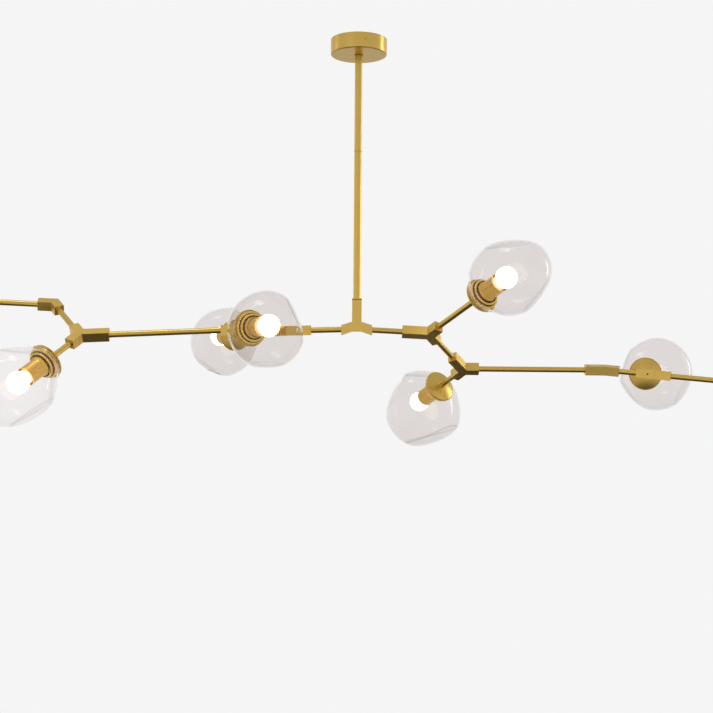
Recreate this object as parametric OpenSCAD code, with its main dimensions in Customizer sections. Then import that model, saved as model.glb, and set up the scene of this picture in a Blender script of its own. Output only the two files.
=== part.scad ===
// Branch chandelier: a ceiling canopy, a two-length stem, a jointed zigzag of tubes and cast blocks,
// and eight side lights in irregular hand-blown glass bubbles.
// Origin: centre of the ceiling face. +Z up, +X to the right, +Y away from the viewer. Millimetres.

/* [Canopy] */
// Outer diameter of the canopy
canopy_d = 120; // [100:1:150]
// Height of the canopy wall
canopy_h = 33; // [28:1:45]
// Sheet thickness of the canopy
canopy_wall = 1.2; // [0.8:0.1:2]
// Radius of the canopy's lower edge
canopy_edge_r = 2.5; // [1.5:0.5:5]

/* [Ceiling bracket] */
// Distance between the two ceiling screws
screw_spacing = 76; // [60:1:86]
// End-to-end length of each bracket slot
slot_l = 14; // [8:1:20]
// Width of each bracket slot
slot_w = 5.2; // [4.2:0.1:6.4]
// Width of the bracket bar
bracket_w = 36; // [30:1:44]
// Thickness of the bracket steel
bracket_t = 2.5; // [1.5:0.5:4]

/* [Stem] */
// Outside diameter of the stem tube
stem_d = 16; // [14:0.5:18]
// Wall of the stem tube
stem_wall = 1; // [0.8:0.1:2]
// Depth of the joint between the two stem lengths below the ceiling
stem_joint_z = 240; // [120:5:320]
// Depth of the branch hub below the ceiling
hub_z = 620; // [450:1:900]

/* [Tubes and blocks] */
// Outside diameter of the branch tubes
tube_d = 12; // [10:0.5:13]
// Wall of the branch tubes
tube_wall = 1; // [0.8:0.1:1.4]
// Width and thickness of the square cast blocks
block_w = 20; // [18:0.5:24]
// Hub to end of a block's long arm
long_arm = 58; // [50:1:80]
// Hub to end of a block's short arm
short_arm = 34; // [32:1:48]
// Hub to end of an elbow's long arm
elbow_arm = 44; // [36:1:60]
// Hub to end of the left elbow's short arm
elbow_short_arm = 27; // [26:1:40]
// Hub to end of the right elbow's short arm
right_elbow_arm = 32; // [26:1:40]
// Hub to end of the outer right block's long arm
outer_arm = 60; // [50:1:80]
// Hub to back face of the outer right block
flush_arm = 14; // [13:1:30]
// How deep a tube sits in an arm
seat = 14; // [10:1:15]
// Diameter of the grub screw holes
grub_d = 4; // [3:0.5:5]

/* [Right branch] */
// Droop of the first right tube, degrees
right_droop = 2.7; // [0:0.1:12]
// Hub to hub, centre block to inner block
right_run_1 = 154; // [130:1:260]
// Turn of the inner block about its tube
right_turn_1 = -25.5; // [-40:0.5:0]
// Hub to hub, inner block to second block
right_run_2 = 170; // [130:1:260]
// Turn of the second block about its tube
right_turn_2 = -3.5; // [-30:0.5:30]
// Hub to hub, second block to elbow
right_run_3 = 313; // [260:1:400]
// Turn of the elbow about its tube
right_turn_3 = 45; // [20:1:60]
// Bend of the right elbow
right_bend = 20; // [15:1:60]
// Hub to hub, elbow to outer block
right_run_4 = 84; // [76:1:140]
// Turn of the outer block about its tube
right_turn_4 = -14; // [-30:1:30]

/* [Left branch] */
// Droop of the first left tube, degrees
left_droop = 1.8; // [0:0.1:12]
// Hub to hub, centre block to inner block
left_run_1 = 154; // [130:1:260]
// Turn of the inner block about its tube
left_turn_1 = -3; // [-20:1:20]
// Hub to hub, inner block to second block
left_run_2 = 166; // [140:1:260]
// Turn of the second block about its tube
left_turn_2 = 1; // [-20:1:20]
// Hub to hub, second block to outer block
left_run_3 = 315; // [260:1:400]
// Turn of the outer block about its tube
left_turn_3 = -34; // [-50:1:-20]
// Hub to hub, outer block to elbow
left_run_4 = 146; // [110:1:240]
// Turn of the elbow about its tube
left_turn_4 = 9; // [-20:1:30]
// Bend of the left elbow
left_bend = 64; // [40:1:75]

/* [Arms, hub to glass neck] */
// Far left light
reach_far_left = 190; // [120:1:300]
// Left outer light
reach_left_outer = 112; // [80:1:200]
// Left second light
reach_left_second = 64; // [60:1:120]
// Left inner light
reach_left_inner = 252; // [200:1:320]
// Right inner light
reach_right_inner = 192; // [120:1:260]
// Right second light
reach_right_second = 100; // [70:1:160]
// Right outer light
reach_right_outer = 60; // [60:1:120]
// Far right light
reach_far_right = 200; // [140:1:300]

/* [Lights] */
// Outside diameter of the glass neck
neck_d = 72; // [64:1:80]
// Length of the glass neck
neck_l = 8; // [6:1:14]
// Thickness of the glass
glass_wall = 3; // [2:0.5:4]
// Outside diameter of the lampholder tube
holder_d = 38; // [34:1:42]
// Length of the lampholder tube
holder_l = 41; // [34:1:46]
// Diameter of the bulb's globe
bulb_d = 50; // [45:1:56]
// Glass neck to centre of the bulb's globe
bulb_reach = 64; // [60:1:70]
// Outside diameter of the threaded nipples
nipple_d = 10; // [8:0.5:10]

/* [Hidden] */
$fn = 64;
// Radial clearance of every tube in its bore
fit = 0.05;
// Axial clearance where a piece turns on another
turn_gap = 0.2;
brass = [0.80, 0.65, 0.31];
dark_steel = [0.45, 0.45, 0.47];
porcelain = [0.93, 0.92, 0.88];
clear_glass = [0.86, 0.88, 0.89, 0.35];
warm_bulb = [1.0, 0.95, 0.82];
bakelite = [0.18, 0.17, 0.16];

stem_bore = stem_d - 2 * stem_wall;
tube_bore = tube_d - 2 * tube_wall;
wire_bore = tube_bore - 2;
chamber_d = wire_bore + 5;
stem_seat = seat + 6;
centre_arm = 32.5;
y_angle = 60;
side_angle = 90;

// Swivel nut that carries the stem inside the canopy
swivel_d = stem_d + 12;
swivel_wall = 3;
swivel_top_z = -bracket_t - 6;
swivel_h = 16;
swivel_floor_z = swivel_top_z - swivel_h;
stem_head_d = stem_d + 5;
stem_head_h = 4;
stem_top_z = swivel_floor_z + swivel_wall + fit + stem_head_h;
canopy_hole_d = stem_d + 1.6;

// Centre block
centre_top = 65;
centre_shoulder = 15;
centre_arm_top = 7.8;
centre_arm_foot = -12.5;
centre_foot = -4.6;
centre_seat = seat - 4;
centre_wire_d = 5;
centre_wire_lift = 2;

// Rings and sides of each blown bubble's skin
rings = 11;
sides = 24;

// Lights, measured along the arm from the glass neck's plane
cap_flange_t = 1.2;
cap_dome_h = 5;
boss_d = tube_d + 4;
boss_h = 8;
drum_d = (neck_d - 2 * glass_wall) * cos(180 / sides) - 0.6;
drum_front = -2;
drum_wall = 1.5;
plate_t = 1.5;
plate_rise = 4;
plate_d = holder_d + 8;
plate_z = drum_front + fit;
holder_z = plate_z + plate_rise + plate_t + fit;
holder_wall = 1;
holder_flange_d = holder_d + 5;
holder_flange_h = 2.5;
holder_floor = 2;
core_d = holder_d - 2 * holder_wall - 2;
core_h = 22;
shell_bore = 27;
core_z = holder_z + holder_floor + fit;
core_floor = 5;
contact_z = core_z + core_floor + fit;
bulb_base_d = shell_bore - 0.4;
bulb_base_h = core_h - core_floor;
neck_z = contact_z + bulb_base_h + fit;
bulb_neck_d = 29;
bulb_wall = 1;
cap_back = -neck_l - cap_flange_t - cap_dome_h;
boss_back = cap_back - boss_h + 2;
boss_seat = 6;
tube_stop = boss_back + boss_seat;
nipple_z = tube_stop - 8;

// ---- Frames: each block's frame has X along the incoming tube and Z across the flat of the block ----
function move(x, y, z) = [[1, 0, 0, x], [0, 1, 0, y], [0, 0, 1, z], [0, 0, 0, 1]];
function about_x(a) = [[1, 0, 0, 0], [0, cos(a), -sin(a), 0], [0, sin(a), cos(a), 0], [0, 0, 0, 1]];
function about_y(a) = [[cos(a), 0, sin(a), 0], [0, 1, 0, 0], [-sin(a), 0, cos(a), 0], [0, 0, 0, 1]];
function about_z(a) = [[cos(a), -sin(a), 0, 0], [sin(a), cos(a), 0, 0], [0, 0, 1, 0], [0, 0, 0, 1]];
function next_block(from, branch, run, turn) = from * about_z(branch) * move(run, 0, 0) * about_x(turn);
function light_at(from, branch, reach) = from * about_z(branch) * move(reach, 0, 0);

centre = move(0, 0, -hub_z);
right_start = centre * about_y(right_droop);
right_inner = next_block(right_start, 0, right_run_1, right_turn_1);
right_second = next_block(right_inner, y_angle, right_run_2, right_turn_2);
right_elbow_at = next_block(right_second, -y_angle, right_run_3, right_turn_3);
right_outer = next_block(right_elbow_at, -right_bend, right_run_4, right_turn_4);
left_start = centre * about_z(180) * about_y(left_droop);
left_inner = next_block(left_start, 0, left_run_1, left_turn_1);
left_second = next_block(left_inner, y_angle, left_run_2, left_turn_2);
left_outer = next_block(left_second, -y_angle, left_run_3, left_turn_3);
left_elbow_at = next_block(left_outer, -y_angle, left_run_4, left_turn_4);

light_far_left = light_at(left_elbow_at, left_bend, reach_far_left);
light_left_outer = light_at(left_outer, y_angle, reach_left_outer);
light_left_second = light_at(left_second, y_angle, reach_left_second);
light_left_inner = light_at(left_inner, -y_angle, reach_left_inner);
light_right_inner = light_at(right_inner, -y_angle, reach_right_inner);
light_right_second = light_at(right_second, y_angle, reach_right_second);
light_right_outer = light_at(right_outer, side_angle, reach_right_outer);
light_far_right = light_at(right_outer, 0, reach_far_right);

// Puts children whose axis is Z onto the X axis of a frame
module along(frame) {
    multmatrix(frame)
        rotate([0, 90, 0])
            children();
}

// ---- Tubes and blocks ----
module tube(outer, bore, length) {
    difference() {
        cylinder(d = outer, h = length);
        translate([0, 0, -1])
            cylinder(d = bore, h = length + 2);
    }
}

// A branch tube along a frame's X axis, from one distance to another
module branch_tube(frame, from, to) {
    color(brass)
        along(frame)
            translate([0, 0, from])
                tube(tube_d, tube_bore, to - from);
}

// Blind bore for a tube, its wire way to the hub's chamber and its grub screw
module arm_bore(length, side) {
    translate([length - seat, 0, 0])
        rotate([0, 90, 0])
            cylinder(d = tube_d + 2 * fit, h = seat + 1);
    translate([chamber_d / 4, 0, 0])
        rotate([0, 90, 0])
            cylinder(d = wire_bore, h = length - chamber_d / 4);
    translate([length - seat / 2, 0, 0])
        rotate([side > 0 ? 0 : 180, 0, 0])
            cylinder(d = grub_d, h = block_w, $fn = 32);
}

// A point along an arm at an angle, set off to its left
function off_arm(angle, run, left) =
    [run * cos(angle) - left * sin(angle), run * sin(angle) + left * cos(angle)];

// A cast block: an outline with square arms in one plane, each arm given as [angle, length]
module cast_block(frame, outline, arms, side) {
    color(brass)
        multmatrix(frame)
            difference() {
                linear_extrude(block_w, center = true)
                    polygon(outline);
                cylinder(d = chamber_d, h = block_w / 2, center = true);
                for (arm = arms)
                    rotate([0, 0, arm[0]])
                        arm_bore(arm[1], side);
            }
}

// Three arms at equal angles: one long, two short
module y_block(frame, side) {
    half = block_w / 2;
    crotch = half / sin(y_angle);
    outline = [
        [-long_arm, half], off_arm(2 * y_angle, crotch, 0),
        off_arm(y_angle, short_arm, half), off_arm(y_angle, short_arm, -half), [crotch, 0],
        off_arm(-y_angle, short_arm, half), off_arm(-y_angle, short_arm, -half),
        off_arm(-2 * y_angle, crotch, 0), [-long_arm, -half],
    ];
    cast_block(frame, outline, [[180, long_arm], [y_angle, short_arm], [-y_angle, short_arm]], side);
}

// Two arms with a mitred bend between them
module elbow_block(frame, back, bend, front, side) {
    half = block_w / 2;
    mitre = half * tan(bend / 2);
    outline = [
        [-back, half], [-mitre, half], off_arm(bend, front, half),
        off_arm(bend, front, -half), [mitre, -half], [-back, -half],
    ];
    cast_block(frame, outline, [[180, back], [bend, front]], side);
}

// ---- Lights ----
module cap_profile() {
    polygon([
        [nipple_d / 2 + fit, tube_stop],
        [tube_d / 2 + fit, tube_stop],
        [tube_d / 2 + fit, boss_back],
        [boss_d / 2 - 0.8, boss_back],
        [boss_d / 2, boss_back + 0.8],
        [boss_d / 2, cap_back],
        [neck_d * 0.3, cap_back + cap_dome_h * 0.16],
        [neck_d * 0.4, cap_back + cap_dome_h * 0.42],
        [neck_d * 0.47, cap_back + cap_dome_h * 0.76],
        [neck_d / 2, cap_back + cap_dome_h],
        [neck_d / 2, -neck_l],
        [drum_d / 2, -neck_l],
        [drum_d / 2, drum_front],
        [drum_d / 2 - drum_wall, drum_front],
        [drum_d / 2 - drum_wall, -neck_l],
        [boss_d / 2 + 4, cap_back + drum_wall + 2],
        [boss_d / 2, cap_back + drum_wall + 2],
        [nipple_d / 2 + fit, cap_back + drum_wall + 2],
    ]);
}

module plate_profile() {
    polygon([
        [nipple_d / 2 + fit, plate_z + plate_rise],
        [plate_d / 2, plate_z + plate_rise],
        [drum_d / 2 - 1, plate_z],
        [drum_d / 2, plate_z],
        [drum_d / 2, plate_z + 1],
        [plate_d / 2, plate_z + plate_rise + plate_t],
        [nipple_d / 2 + fit, plate_z + plate_rise + plate_t],
    ]);
}

// Shallow domed cap with its boss, and the coned plate that closes its front
module cap(frame) {
    color(brass)
        along(frame) {
            rotate_extrude()
                cap_profile();
            rotate_extrude()
                plate_profile();
        }
}

module holder_profile() {
    polygon([
        [nipple_d / 2 + fit, holder_z],
        [holder_flange_d / 2, holder_z],
        [holder_flange_d / 2, holder_z + holder_flange_h],
        [holder_d / 2, holder_z + holder_flange_h],
        [holder_d / 2, holder_z + holder_l],
        [holder_d / 2 - holder_wall, holder_z + holder_l],
        [holder_d / 2 - holder_wall, holder_z + holder_floor],
        [nipple_d / 2 + fit, holder_z + holder_floor],
    ]);
}

// Metal lampholder tube, its porcelain core and the nipple that ties arm, cap and holder
module holder(frame) {
    along(frame) {
        color(brass)
            rotate_extrude()
                holder_profile();
        color(porcelain)
            translate([0, 0, core_z])
                difference() {
                    cylinder(d = core_d, h = core_h);
                    translate([0, 0, core_floor])
                        cylinder(d = shell_bore, h = core_h);
                }
        color(dark_steel)
            translate([0, 0, nipple_z])
                tube(nipple_d, nipple_d - 3, core_z - fit - nipple_z);
    }
}

// Half outline of the bulb's glass, inset by a wall for its inside
module bulb_outline(inset) {
    ball_r = bulb_d / 2 - inset;
    neck_r = bulb_neck_d / 2 - inset;
    touch = 40;
    intersection() {
        union() {
            translate([0, bulb_reach])
                circle(r = ball_r);
            polygon([
                [0, neck_z],
                [neck_r, neck_z],
                [neck_r, neck_z + 3],
                [ball_r * sin(touch), bulb_reach - ball_r * cos(touch)],
                [0, bulb_reach],
            ]);
        }
        translate([0, neck_z + (inset > 0 ? -1 : 0)])
            square([bulb_d, bulb_d * 2]);
    }
}

// Globe bulb: a blown envelope standing in a metal screw base
module bulb(frame) {
    along(frame) {
        color(warm_bulb)
            rotate_extrude()
                difference() {
                    bulb_outline(0);
                    bulb_outline(bulb_wall);
                }
        color(dark_steel)
            translate([0, 0, contact_z])
                cylinder(d = bulb_base_d, h = bulb_base_h);
    }
}

// ---- Glass bubbles ----
// A dent is [angle from the arm's axis, angle round it, half-angle, depth]. A bubble is
// [diameter, stretch along the arm, lean across it, dents]: its skin is dented about the centre, its
// upper part is leaned over, and the whole is stretched away from the neck's plane.
function direction(polar, round) = [sin(polar) * cos(round), sin(polar) * sin(round), cos(polar)];
function angle_between(a, b) = acos(max(-1, min(1, a * b)));
function ease(x) = let (t = max(0, min(1, x))) t * t * (3 - 2 * t);
function dented(polar, round, dent) =
    let (x = angle_between(direction(polar, round), direction(dent[0], dent[1])) / dent[2])
    x < 1 ? dent[3] * (1 - x * x) : 0;
function press(polar, round, dents) = max([0, for (dent = dents) dented(polar, round, dent)]);
function pulled(p, centre_z, shape) =
    let (w = ease(p.z / centre_z))
    [p.x + shape[2].x * w, p.y + shape[2].y * w, p.z > 0 ? p.z * shape[1] : p.z];
function bubble_point(centre_z, r, polar, round, shape) =
    let (free = ease((centre_z + r * cos(polar)) / neck_fade))
    pulled(
        (r - free * press(polar, round, shape[3])) * direction(polar, round) + [0, 0, centre_z],
        centre_z,
        shape
    );
neck_fade = 14;
shape_far_left = [158, 1, [3, 4], [
    [40, 60, 30, 8],
    [75, 200, 32, 8],
    [95, 320, 26, 6],
]];
shape_left_outer = [157.0, 1.098, [6.3, -6.1], [
    [128, 75, 35, 4.3],
    [78, 37, 39, 4.8],
    [125, -168, 40, 8.7],
]];
shape_left_second = [151.6, 0.963, [7.9, 0], [
    [64, 112, 36, 9.5],
    [96, 1, 24, 3.8],
    [99, -137, 24, 1.3],
    [56, 93, 30, 1.5],
]];
shape_left_inner = [158, 0.972, [12.8, -7.8], [
    [77, 26, 28, 2.7],
    [76.5, 21, 21, 4.8],
    [85, 148, 33, 1.1],
]];
shape_right_inner = [152.8, 1.14, [-5.6, 9.7], [
    [70, 61, 32, 5.3],
    [138, -6.5, 31, 4.6],
    [141, -64.5, 36, 4.1],
    [63, -160, 36, 7.4],
]];
shape_right_second = [188, 0.926, [10.8, -16.9], [
    [89, 130, 27, 3.4],
    [82, -32, 40, 11.8],
    [80, 113, 40, 10.8],
    [126, 166, 39, 10.3],
]];
shape_right_outer = [167.6, 1.007, [-1.2, -13.8], [
    [87, -70, 27.5, 2.8],
    [100, 49, 36.5, 5.9],
    [103, 103, 39, 9.7],
    [100, 140, 29, 4.6],
]];
shape_far_right = [156, 1.02, [-3, 4], [
    [45, 120, 30, 8],
    [80, 240, 30, 8],
    [90, 10, 26, 6],
]];
function neck_ring(r, z) = [for (s = [0:sides - 1]) [r * cos(s * 360 / sides), r * sin(s * 360 / sides), z]];

// The shell is one skin: up the outside from the neck's lip to the pole and back down the inside
module bubble(frame, shape) {
    outer_r = shape[0] / 2;
    inner_r = outer_r - glass_wall;
    neck_r = neck_d / 2;
    bore_r = neck_r - glass_wall;
    centre_z = sqrt(outer_r * outer_r - neck_r * neck_r);
    open_out = 180 - asin(neck_r / outer_r);
    open_in = 180 - asin(bore_r / inner_r);
    outer = [for (k = [0:rings - 1], s = [0:sides - 1])
        bubble_point(centre_z, outer_r, open_out * (1 - k / rings), s * 360 / sides, shape)];
    inner = [for (k = [0:rings - 1], s = [0:sides - 1])
        bubble_point(centre_z, inner_r, open_in * (k + 1) / rings, s * 360 / sides, shape)];
    pole_out = [bubble_point(centre_z, outer_r, 0, 0, shape)];
    pole_in = [bubble_point(centre_z, inner_r, 0, 0, shape)];
    points = concat(
        neck_ring(neck_r, -neck_l), outer, pole_out, pole_in, inner, neck_ring(bore_r, -neck_l)
    );
    first_in = sides * (rings + 1) + 1;
    function around(base, s) = base + s % sides;
    function band(base) = [for (s = [0:sides - 1]) each [
        [around(base, s), around(base, s + 1), around(base + sides, s)],
        [around(base, s + 1), around(base + sides, s + 1), around(base + sides, s)],
    ]];
    lip = first_in + 1 + sides * rings;
    faces = concat(
        [for (k = [0:rings - 1]) each band(k * sides)],
        [for (s = [0:sides - 1]) [around(rings * sides, s), around(rings * sides, s + 1), first_in - 1]],
        [for (s = [0:sides - 1]) [around(first_in + 1, s + 1), around(first_in + 1, s), first_in]],
        [for (k = [0:rings - 1]) each band(first_in + 1 + k * sides)],
        [for (s = [0:sides - 1]) each [
            [around(lip, s), around(lip, s + 1), around(0, s)],
            [around(lip, s + 1), around(0, s + 1), around(0, s)],
        ]]
    );
    color(clear_glass)
        along(frame)
            polyhedron(points, [for (f = faces) [f[2], f[1], f[0]]]);
}

// The bracket's ears meet the canopy's wall, a little round from the bar, and take its side screws
ear_turn = 13.5;
ear_w = 12;
ear_h = 20;
side_screw_z = -12;
side_screw_d = 4;
ear_reach = sqrt(pow(canopy_d / 2 - canopy_wall - 0.3, 2) - pow(ear_w / 2, 2));
bar_half = ear_reach - 8;

// Puts children at each ear, with -Y pointing out through the canopy's wall
module at_ears() {
    for (side = [0, 180])
        rotate([0, 0, side + ear_turn])
            children();
}

// A slot through the bar, its length along Y
module bracket_slot() {
    for (end = [-1, 1])
        translate([0, end * (slot_l - slot_w) / 2, -bracket_t - 1])
            cylinder(d = slot_w, h = bracket_t + 2);
    translate([-slot_w / 2, -(slot_l - slot_w) / 2, -bracket_t - 1])
        cube([slot_w, slot_l - slot_w, bracket_t + 2]);
}

// Flat steel bar with two slots and a down-turned ear at each end
module ceiling_bracket() {
    color(dark_steel)
        difference() {
            union() {
                translate([-bracket_w / 2, -bar_half, -bracket_t])
                    cube([bracket_w, 2 * bar_half, bracket_t]);
                at_ears() {
                    translate([-ear_w / 2, -ear_reach, -bracket_t])
                        cube([ear_w, 14, bracket_t]);
                    translate([-ear_w / 2, -ear_reach, -ear_h])
                        cube([ear_w, bracket_t, ear_h]);
                }
            }
            for (side = [-1, 1])
                translate([0, side * screw_spacing / 2, 0])
                    bracket_slot();
            at_ears()
                translate([0, 1 - ear_reach + bracket_t, side_screw_z])
                    rotate([90, 0, 0])
                        cylinder(d = side_screw_d, h = bracket_t + 2, $fn = 32);
            translate([0, 0, -bracket_t - 1])
                cylinder(d = nipple_d + 2 * fit, h = bracket_t + 2);
        }
}

// One pan-head screw along -Z, its head's seat at the origin
module pan_screw(shank_d, length) {
    translate([0, 0, -length])
        cylinder(d = shank_d, h = length, $fn = 32);
    cylinder(d = shank_d * 1.6, h = shank_d * 0.4, $fn = 32);
}

// The two side screws that hold the canopy on the bracket's ears
module mounting_screws() {
    color(dark_steel)
        at_ears()
            translate([0, -canopy_d / 2 - 0.1, side_screw_z])
                rotate([90, 0, 0])
                    pan_screw(side_screw_d - 2 * fit, 7);
}

// Round cup with a rounded lower edge and the stem's hole
module canopy() {
    color(brass)
        difference() {
            rotate_extrude()
                difference() {
                    union() {
                        translate([0, -canopy_h + canopy_edge_r])
                            square([canopy_d / 2, canopy_h - canopy_edge_r]);
                        translate([0, -canopy_h])
                            square([canopy_d / 2 - canopy_edge_r, canopy_edge_r]);
                        translate([canopy_d / 2 - canopy_edge_r, -canopy_h + canopy_edge_r])
                            circle(r = canopy_edge_r);
                    }
                    translate([0, -canopy_h + canopy_wall])
                        square([canopy_d / 2 - canopy_wall - canopy_edge_r, canopy_h]);
                    translate([0, -canopy_h + canopy_wall + canopy_edge_r])
                        square([canopy_d / 2 - canopy_wall, canopy_h]);
                    translate([-1, -canopy_h - 1])
                        square([canopy_hole_d / 2 + 1, canopy_h]);
                }
            at_ears()
                translate([0, -canopy_d / 2, side_screw_z])
                    rotate([90, 0, 0])
                        cylinder(d = side_screw_d + 0.4, h = 8, center = true, $fn = 32);
        }
}

// Nipple and swivel nut: the nut hangs from the bracket and holds the stem's flanged head
module swivel_nut() {
    inner = swivel_d - 2 * swivel_wall;
    color(dark_steel) {
        difference() {
            translate([0, 0, swivel_floor_z])
                cylinder(d = swivel_d, h = swivel_h);
            translate([0, 0, swivel_floor_z + swivel_wall])
                cylinder(d = inner, h = swivel_h - 2 * swivel_wall);
            translate([0, 0, swivel_floor_z - 1])
                cylinder(d = stem_d + 2 * fit, h = swivel_wall + 2);
            translate([0, 0, swivel_top_z - swivel_wall - 1])
                cylinder(d = nipple_d + 2 * fit, h = swivel_wall + 2);
        }
        translate([0, 0, swivel_top_z - swivel_wall])
            tube(nipple_d, nipple_d - 3, swivel_wall - swivel_top_z - 0.5);
    }
}

module terminal_block() {
    color(bakelite)
        translate([26, -14, -canopy_h + canopy_wall])
            difference() {
                cube([14, 28, 12]);
                for (way = [0:2])
                    translate([7, 5 + 9 * way, -1])
                        cylinder(d = 4.5, h = 14, $fn = 32);
            }
}

module stem_upper() {
    color(brass) {
        difference() {
            union() {
                translate([0, 0, -stem_joint_z])
                    cylinder(d = stem_d, h = stem_joint_z + stem_top_z);
                translate([0, 0, stem_top_z - stem_head_h])
                    cylinder(d = stem_head_d, h = stem_head_h);
            }
            translate([0, 0, -stem_joint_z - 1])
                cylinder(d = stem_bore, h = stem_joint_z + stem_top_z + 2);
        }
    }
}

// Ring between the two lengths, on a sleeve that runs up and down inside them
coupler_ring_d = stem_d + 1.4;
coupler_ring_h = 2;
coupler_sleeve = 18;
module stem_coupler() {
    color(brass)
        difference() {
            union() {
                translate([0, 0, -stem_joint_z - coupler_ring_h])
                    cylinder(d = coupler_ring_d, h = coupler_ring_h);
                translate([0, 0, -stem_joint_z - coupler_ring_h - coupler_sleeve])
                    cylinder(d = stem_bore - 2 * fit, h = coupler_ring_h + 2 * coupler_sleeve);
            }
            translate([0, 0, -stem_joint_z - coupler_ring_h - coupler_sleeve - 1])
                cylinder(d = stem_bore - 4, h = coupler_ring_h + 2 * coupler_sleeve + 2);
        }
}

module stem_lower() {
    top = -stem_joint_z - coupler_ring_h;
    foot = -hub_z + centre_top - stem_seat;
    color(brass)
        translate([0, 0, foot])
            tube(stem_d, stem_bore, top - foot);
}

// Long upright arm and two drooping arms with upright end faces
module centre_block() {
    half = block_w / 2;
    color(brass)
        translate([0, 0, -hub_z])
            difference() {
                rotate([90, 0, 0])
                    linear_extrude(block_w, center = true)
                        polygon([
                            [-half, centre_top], [half, centre_top], [half, centre_shoulder],
                            [centre_arm, centre_arm_top], [centre_arm, centre_arm_foot],
                            [half - 1, centre_foot], [-half + 1, centre_foot],
                            [-centre_arm, centre_arm_foot], [-centre_arm, centre_arm_top],
                            [-half, centre_shoulder],
                        ]);
                translate([0, 0, centre_top - stem_seat])
                    cylinder(d = stem_d + 2 * fit, h = stem_seat + 1);
                translate([0, 0, -1])
                    cylinder(d = wire_bore, h = centre_top);
                rotate([0, right_droop, 0])
                    centre_bore();
                rotate([0, 0, 180])
                    rotate([0, left_droop, 0])
                        centre_bore();
            }
}

module centre_bore() {
    translate([centre_arm - centre_seat, 0, 0])
        rotate([0, 90, 0])
            cylinder(d = tube_d + 2 * fit, h = centre_seat + 4);
    translate([centre_wire_lift, 0, centre_wire_lift])
        rotate([0, 90, 0])
            cylinder(d = centre_wire_d, h = centre_arm - centre_wire_lift);
}

module centre_tubes() {
    branch_tube(right_start, centre_arm - centre_seat, right_run_1 - long_arm + seat - turn_gap);
    branch_tube(left_start, centre_arm - centre_seat, left_run_1 - long_arm + seat - turn_gap);
}

module right_inner_block() y_block(right_inner, 1);
module right_link_tube() {
    branch_tube(right_inner * about_z(y_angle), short_arm - seat, right_run_2 - long_arm + seat - turn_gap);
}
module right_second_block() y_block(right_second, 1);
module right_long_tube() {
    branch_tube(
        right_second * about_z(-y_angle),
        short_arm - seat,
        right_run_3 - elbow_arm + seat - turn_gap
    );
}
module right_elbow_tube() {
    branch_tube(
        right_elbow_at * about_z(-right_bend),
        right_elbow_arm - seat,
        right_run_4 - flush_arm + seat - turn_gap
    );
}
module right_elbow() {
    elbow_block(right_elbow_at, elbow_arm, -right_bend, right_elbow_arm, 1);
}
// Straight block with a side arm behind; its front half is thicker and takes a grub screw of its own
module right_outer_block() {
    half = block_w / 2;
    raised = half + 3.5;
    step = 22;
    outline = [
        [-flush_arm, -raised], [step, -raised], [step + 5, -half], [outer_arm, -half], [outer_arm, half],
        [half, half], [half, short_arm], [-half, short_arm], [-half, half], [-flush_arm, half],
    ];
    difference() {
        cast_block(right_outer, outline, [[180, flush_arm], [0, outer_arm], [side_angle, short_arm]], 1);
        color(brass)
            multmatrix(right_outer)
                translate([step / 2, 0, 0])
                    rotate([90, 0, 0])
                        cylinder(d = grub_d, h = raised + 1, $fn = 32);
    }
}

module left_inner_block() y_block(left_inner, 1);
module left_link_tube() {
    branch_tube(left_inner * about_z(y_angle), short_arm - seat, left_run_2 - long_arm + seat - turn_gap);
}
module left_second_block() y_block(left_second, 1);
module left_long_tube() {
    branch_tube(left_second * about_z(-y_angle), short_arm - seat, left_run_3 - long_arm + seat - turn_gap);
}
module left_outer_block() y_block(left_outer, -1);
module left_outer_link_tube() {
    branch_tube(
        left_outer * about_z(-y_angle),
        short_arm - seat,
        left_run_4 - elbow_short_arm + seat - turn_gap
    );
}
module left_elbow() {
    elbow_block(left_elbow_at, elbow_short_arm, left_bend, short_arm, -1);
}

// The arm tube of a light, from its block's seat to the cap's boss
module arm_tube(block_frame, branch, arm, reach) {
    branch_tube(block_frame * about_z(branch), arm - seat, reach + tube_stop);
}

ceiling_bracket();
mounting_screws();
canopy();
swivel_nut();
terminal_block();
stem_upper();
stem_coupler();
stem_lower();
centre_block();
centre_tubes();
right_inner_block();
right_link_tube();
right_second_block();
right_long_tube();
right_elbow();
right_elbow_tube();
right_outer_block();
left_inner_block();
left_link_tube();
left_second_block();
left_long_tube();
left_outer_block();
left_outer_link_tube();
left_elbow();

arm_tube(left_elbow_at, left_bend, short_arm, reach_far_left);  // arm_tube_far_left
cap(light_far_left);  // cap_far_left
holder(light_far_left);  // holder_far_left
bulb(light_far_left);  // bulb_far_left
bubble(light_far_left, shape_far_left);  // glass_far_left

arm_tube(left_outer, y_angle, short_arm, reach_left_outer);  // arm_tube_left_outer
cap(light_left_outer);  // cap_left_outer
holder(light_left_outer);  // holder_left_outer
bulb(light_left_outer);  // bulb_left_outer
bubble(light_left_outer, shape_left_outer);  // glass_left_outer

arm_tube(left_second, y_angle, short_arm, reach_left_second);  // arm_tube_left_second
cap(light_left_second);  // cap_left_second
holder(light_left_second);  // holder_left_second
bulb(light_left_second);  // bulb_left_second
bubble(light_left_second, shape_left_second);  // glass_left_second

arm_tube(left_inner, -y_angle, short_arm, reach_left_inner);  // arm_tube_left_inner
cap(light_left_inner);  // cap_left_inner
holder(light_left_inner);  // holder_left_inner
bulb(light_left_inner);  // bulb_left_inner
bubble(light_left_inner, shape_left_inner);  // glass_left_inner

arm_tube(right_inner, -y_angle, short_arm, reach_right_inner);  // arm_tube_right_inner
cap(light_right_inner);  // cap_right_inner
holder(light_right_inner);  // holder_right_inner
bulb(light_right_inner);  // bulb_right_inner
bubble(light_right_inner, shape_right_inner);  // glass_right_inner

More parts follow.
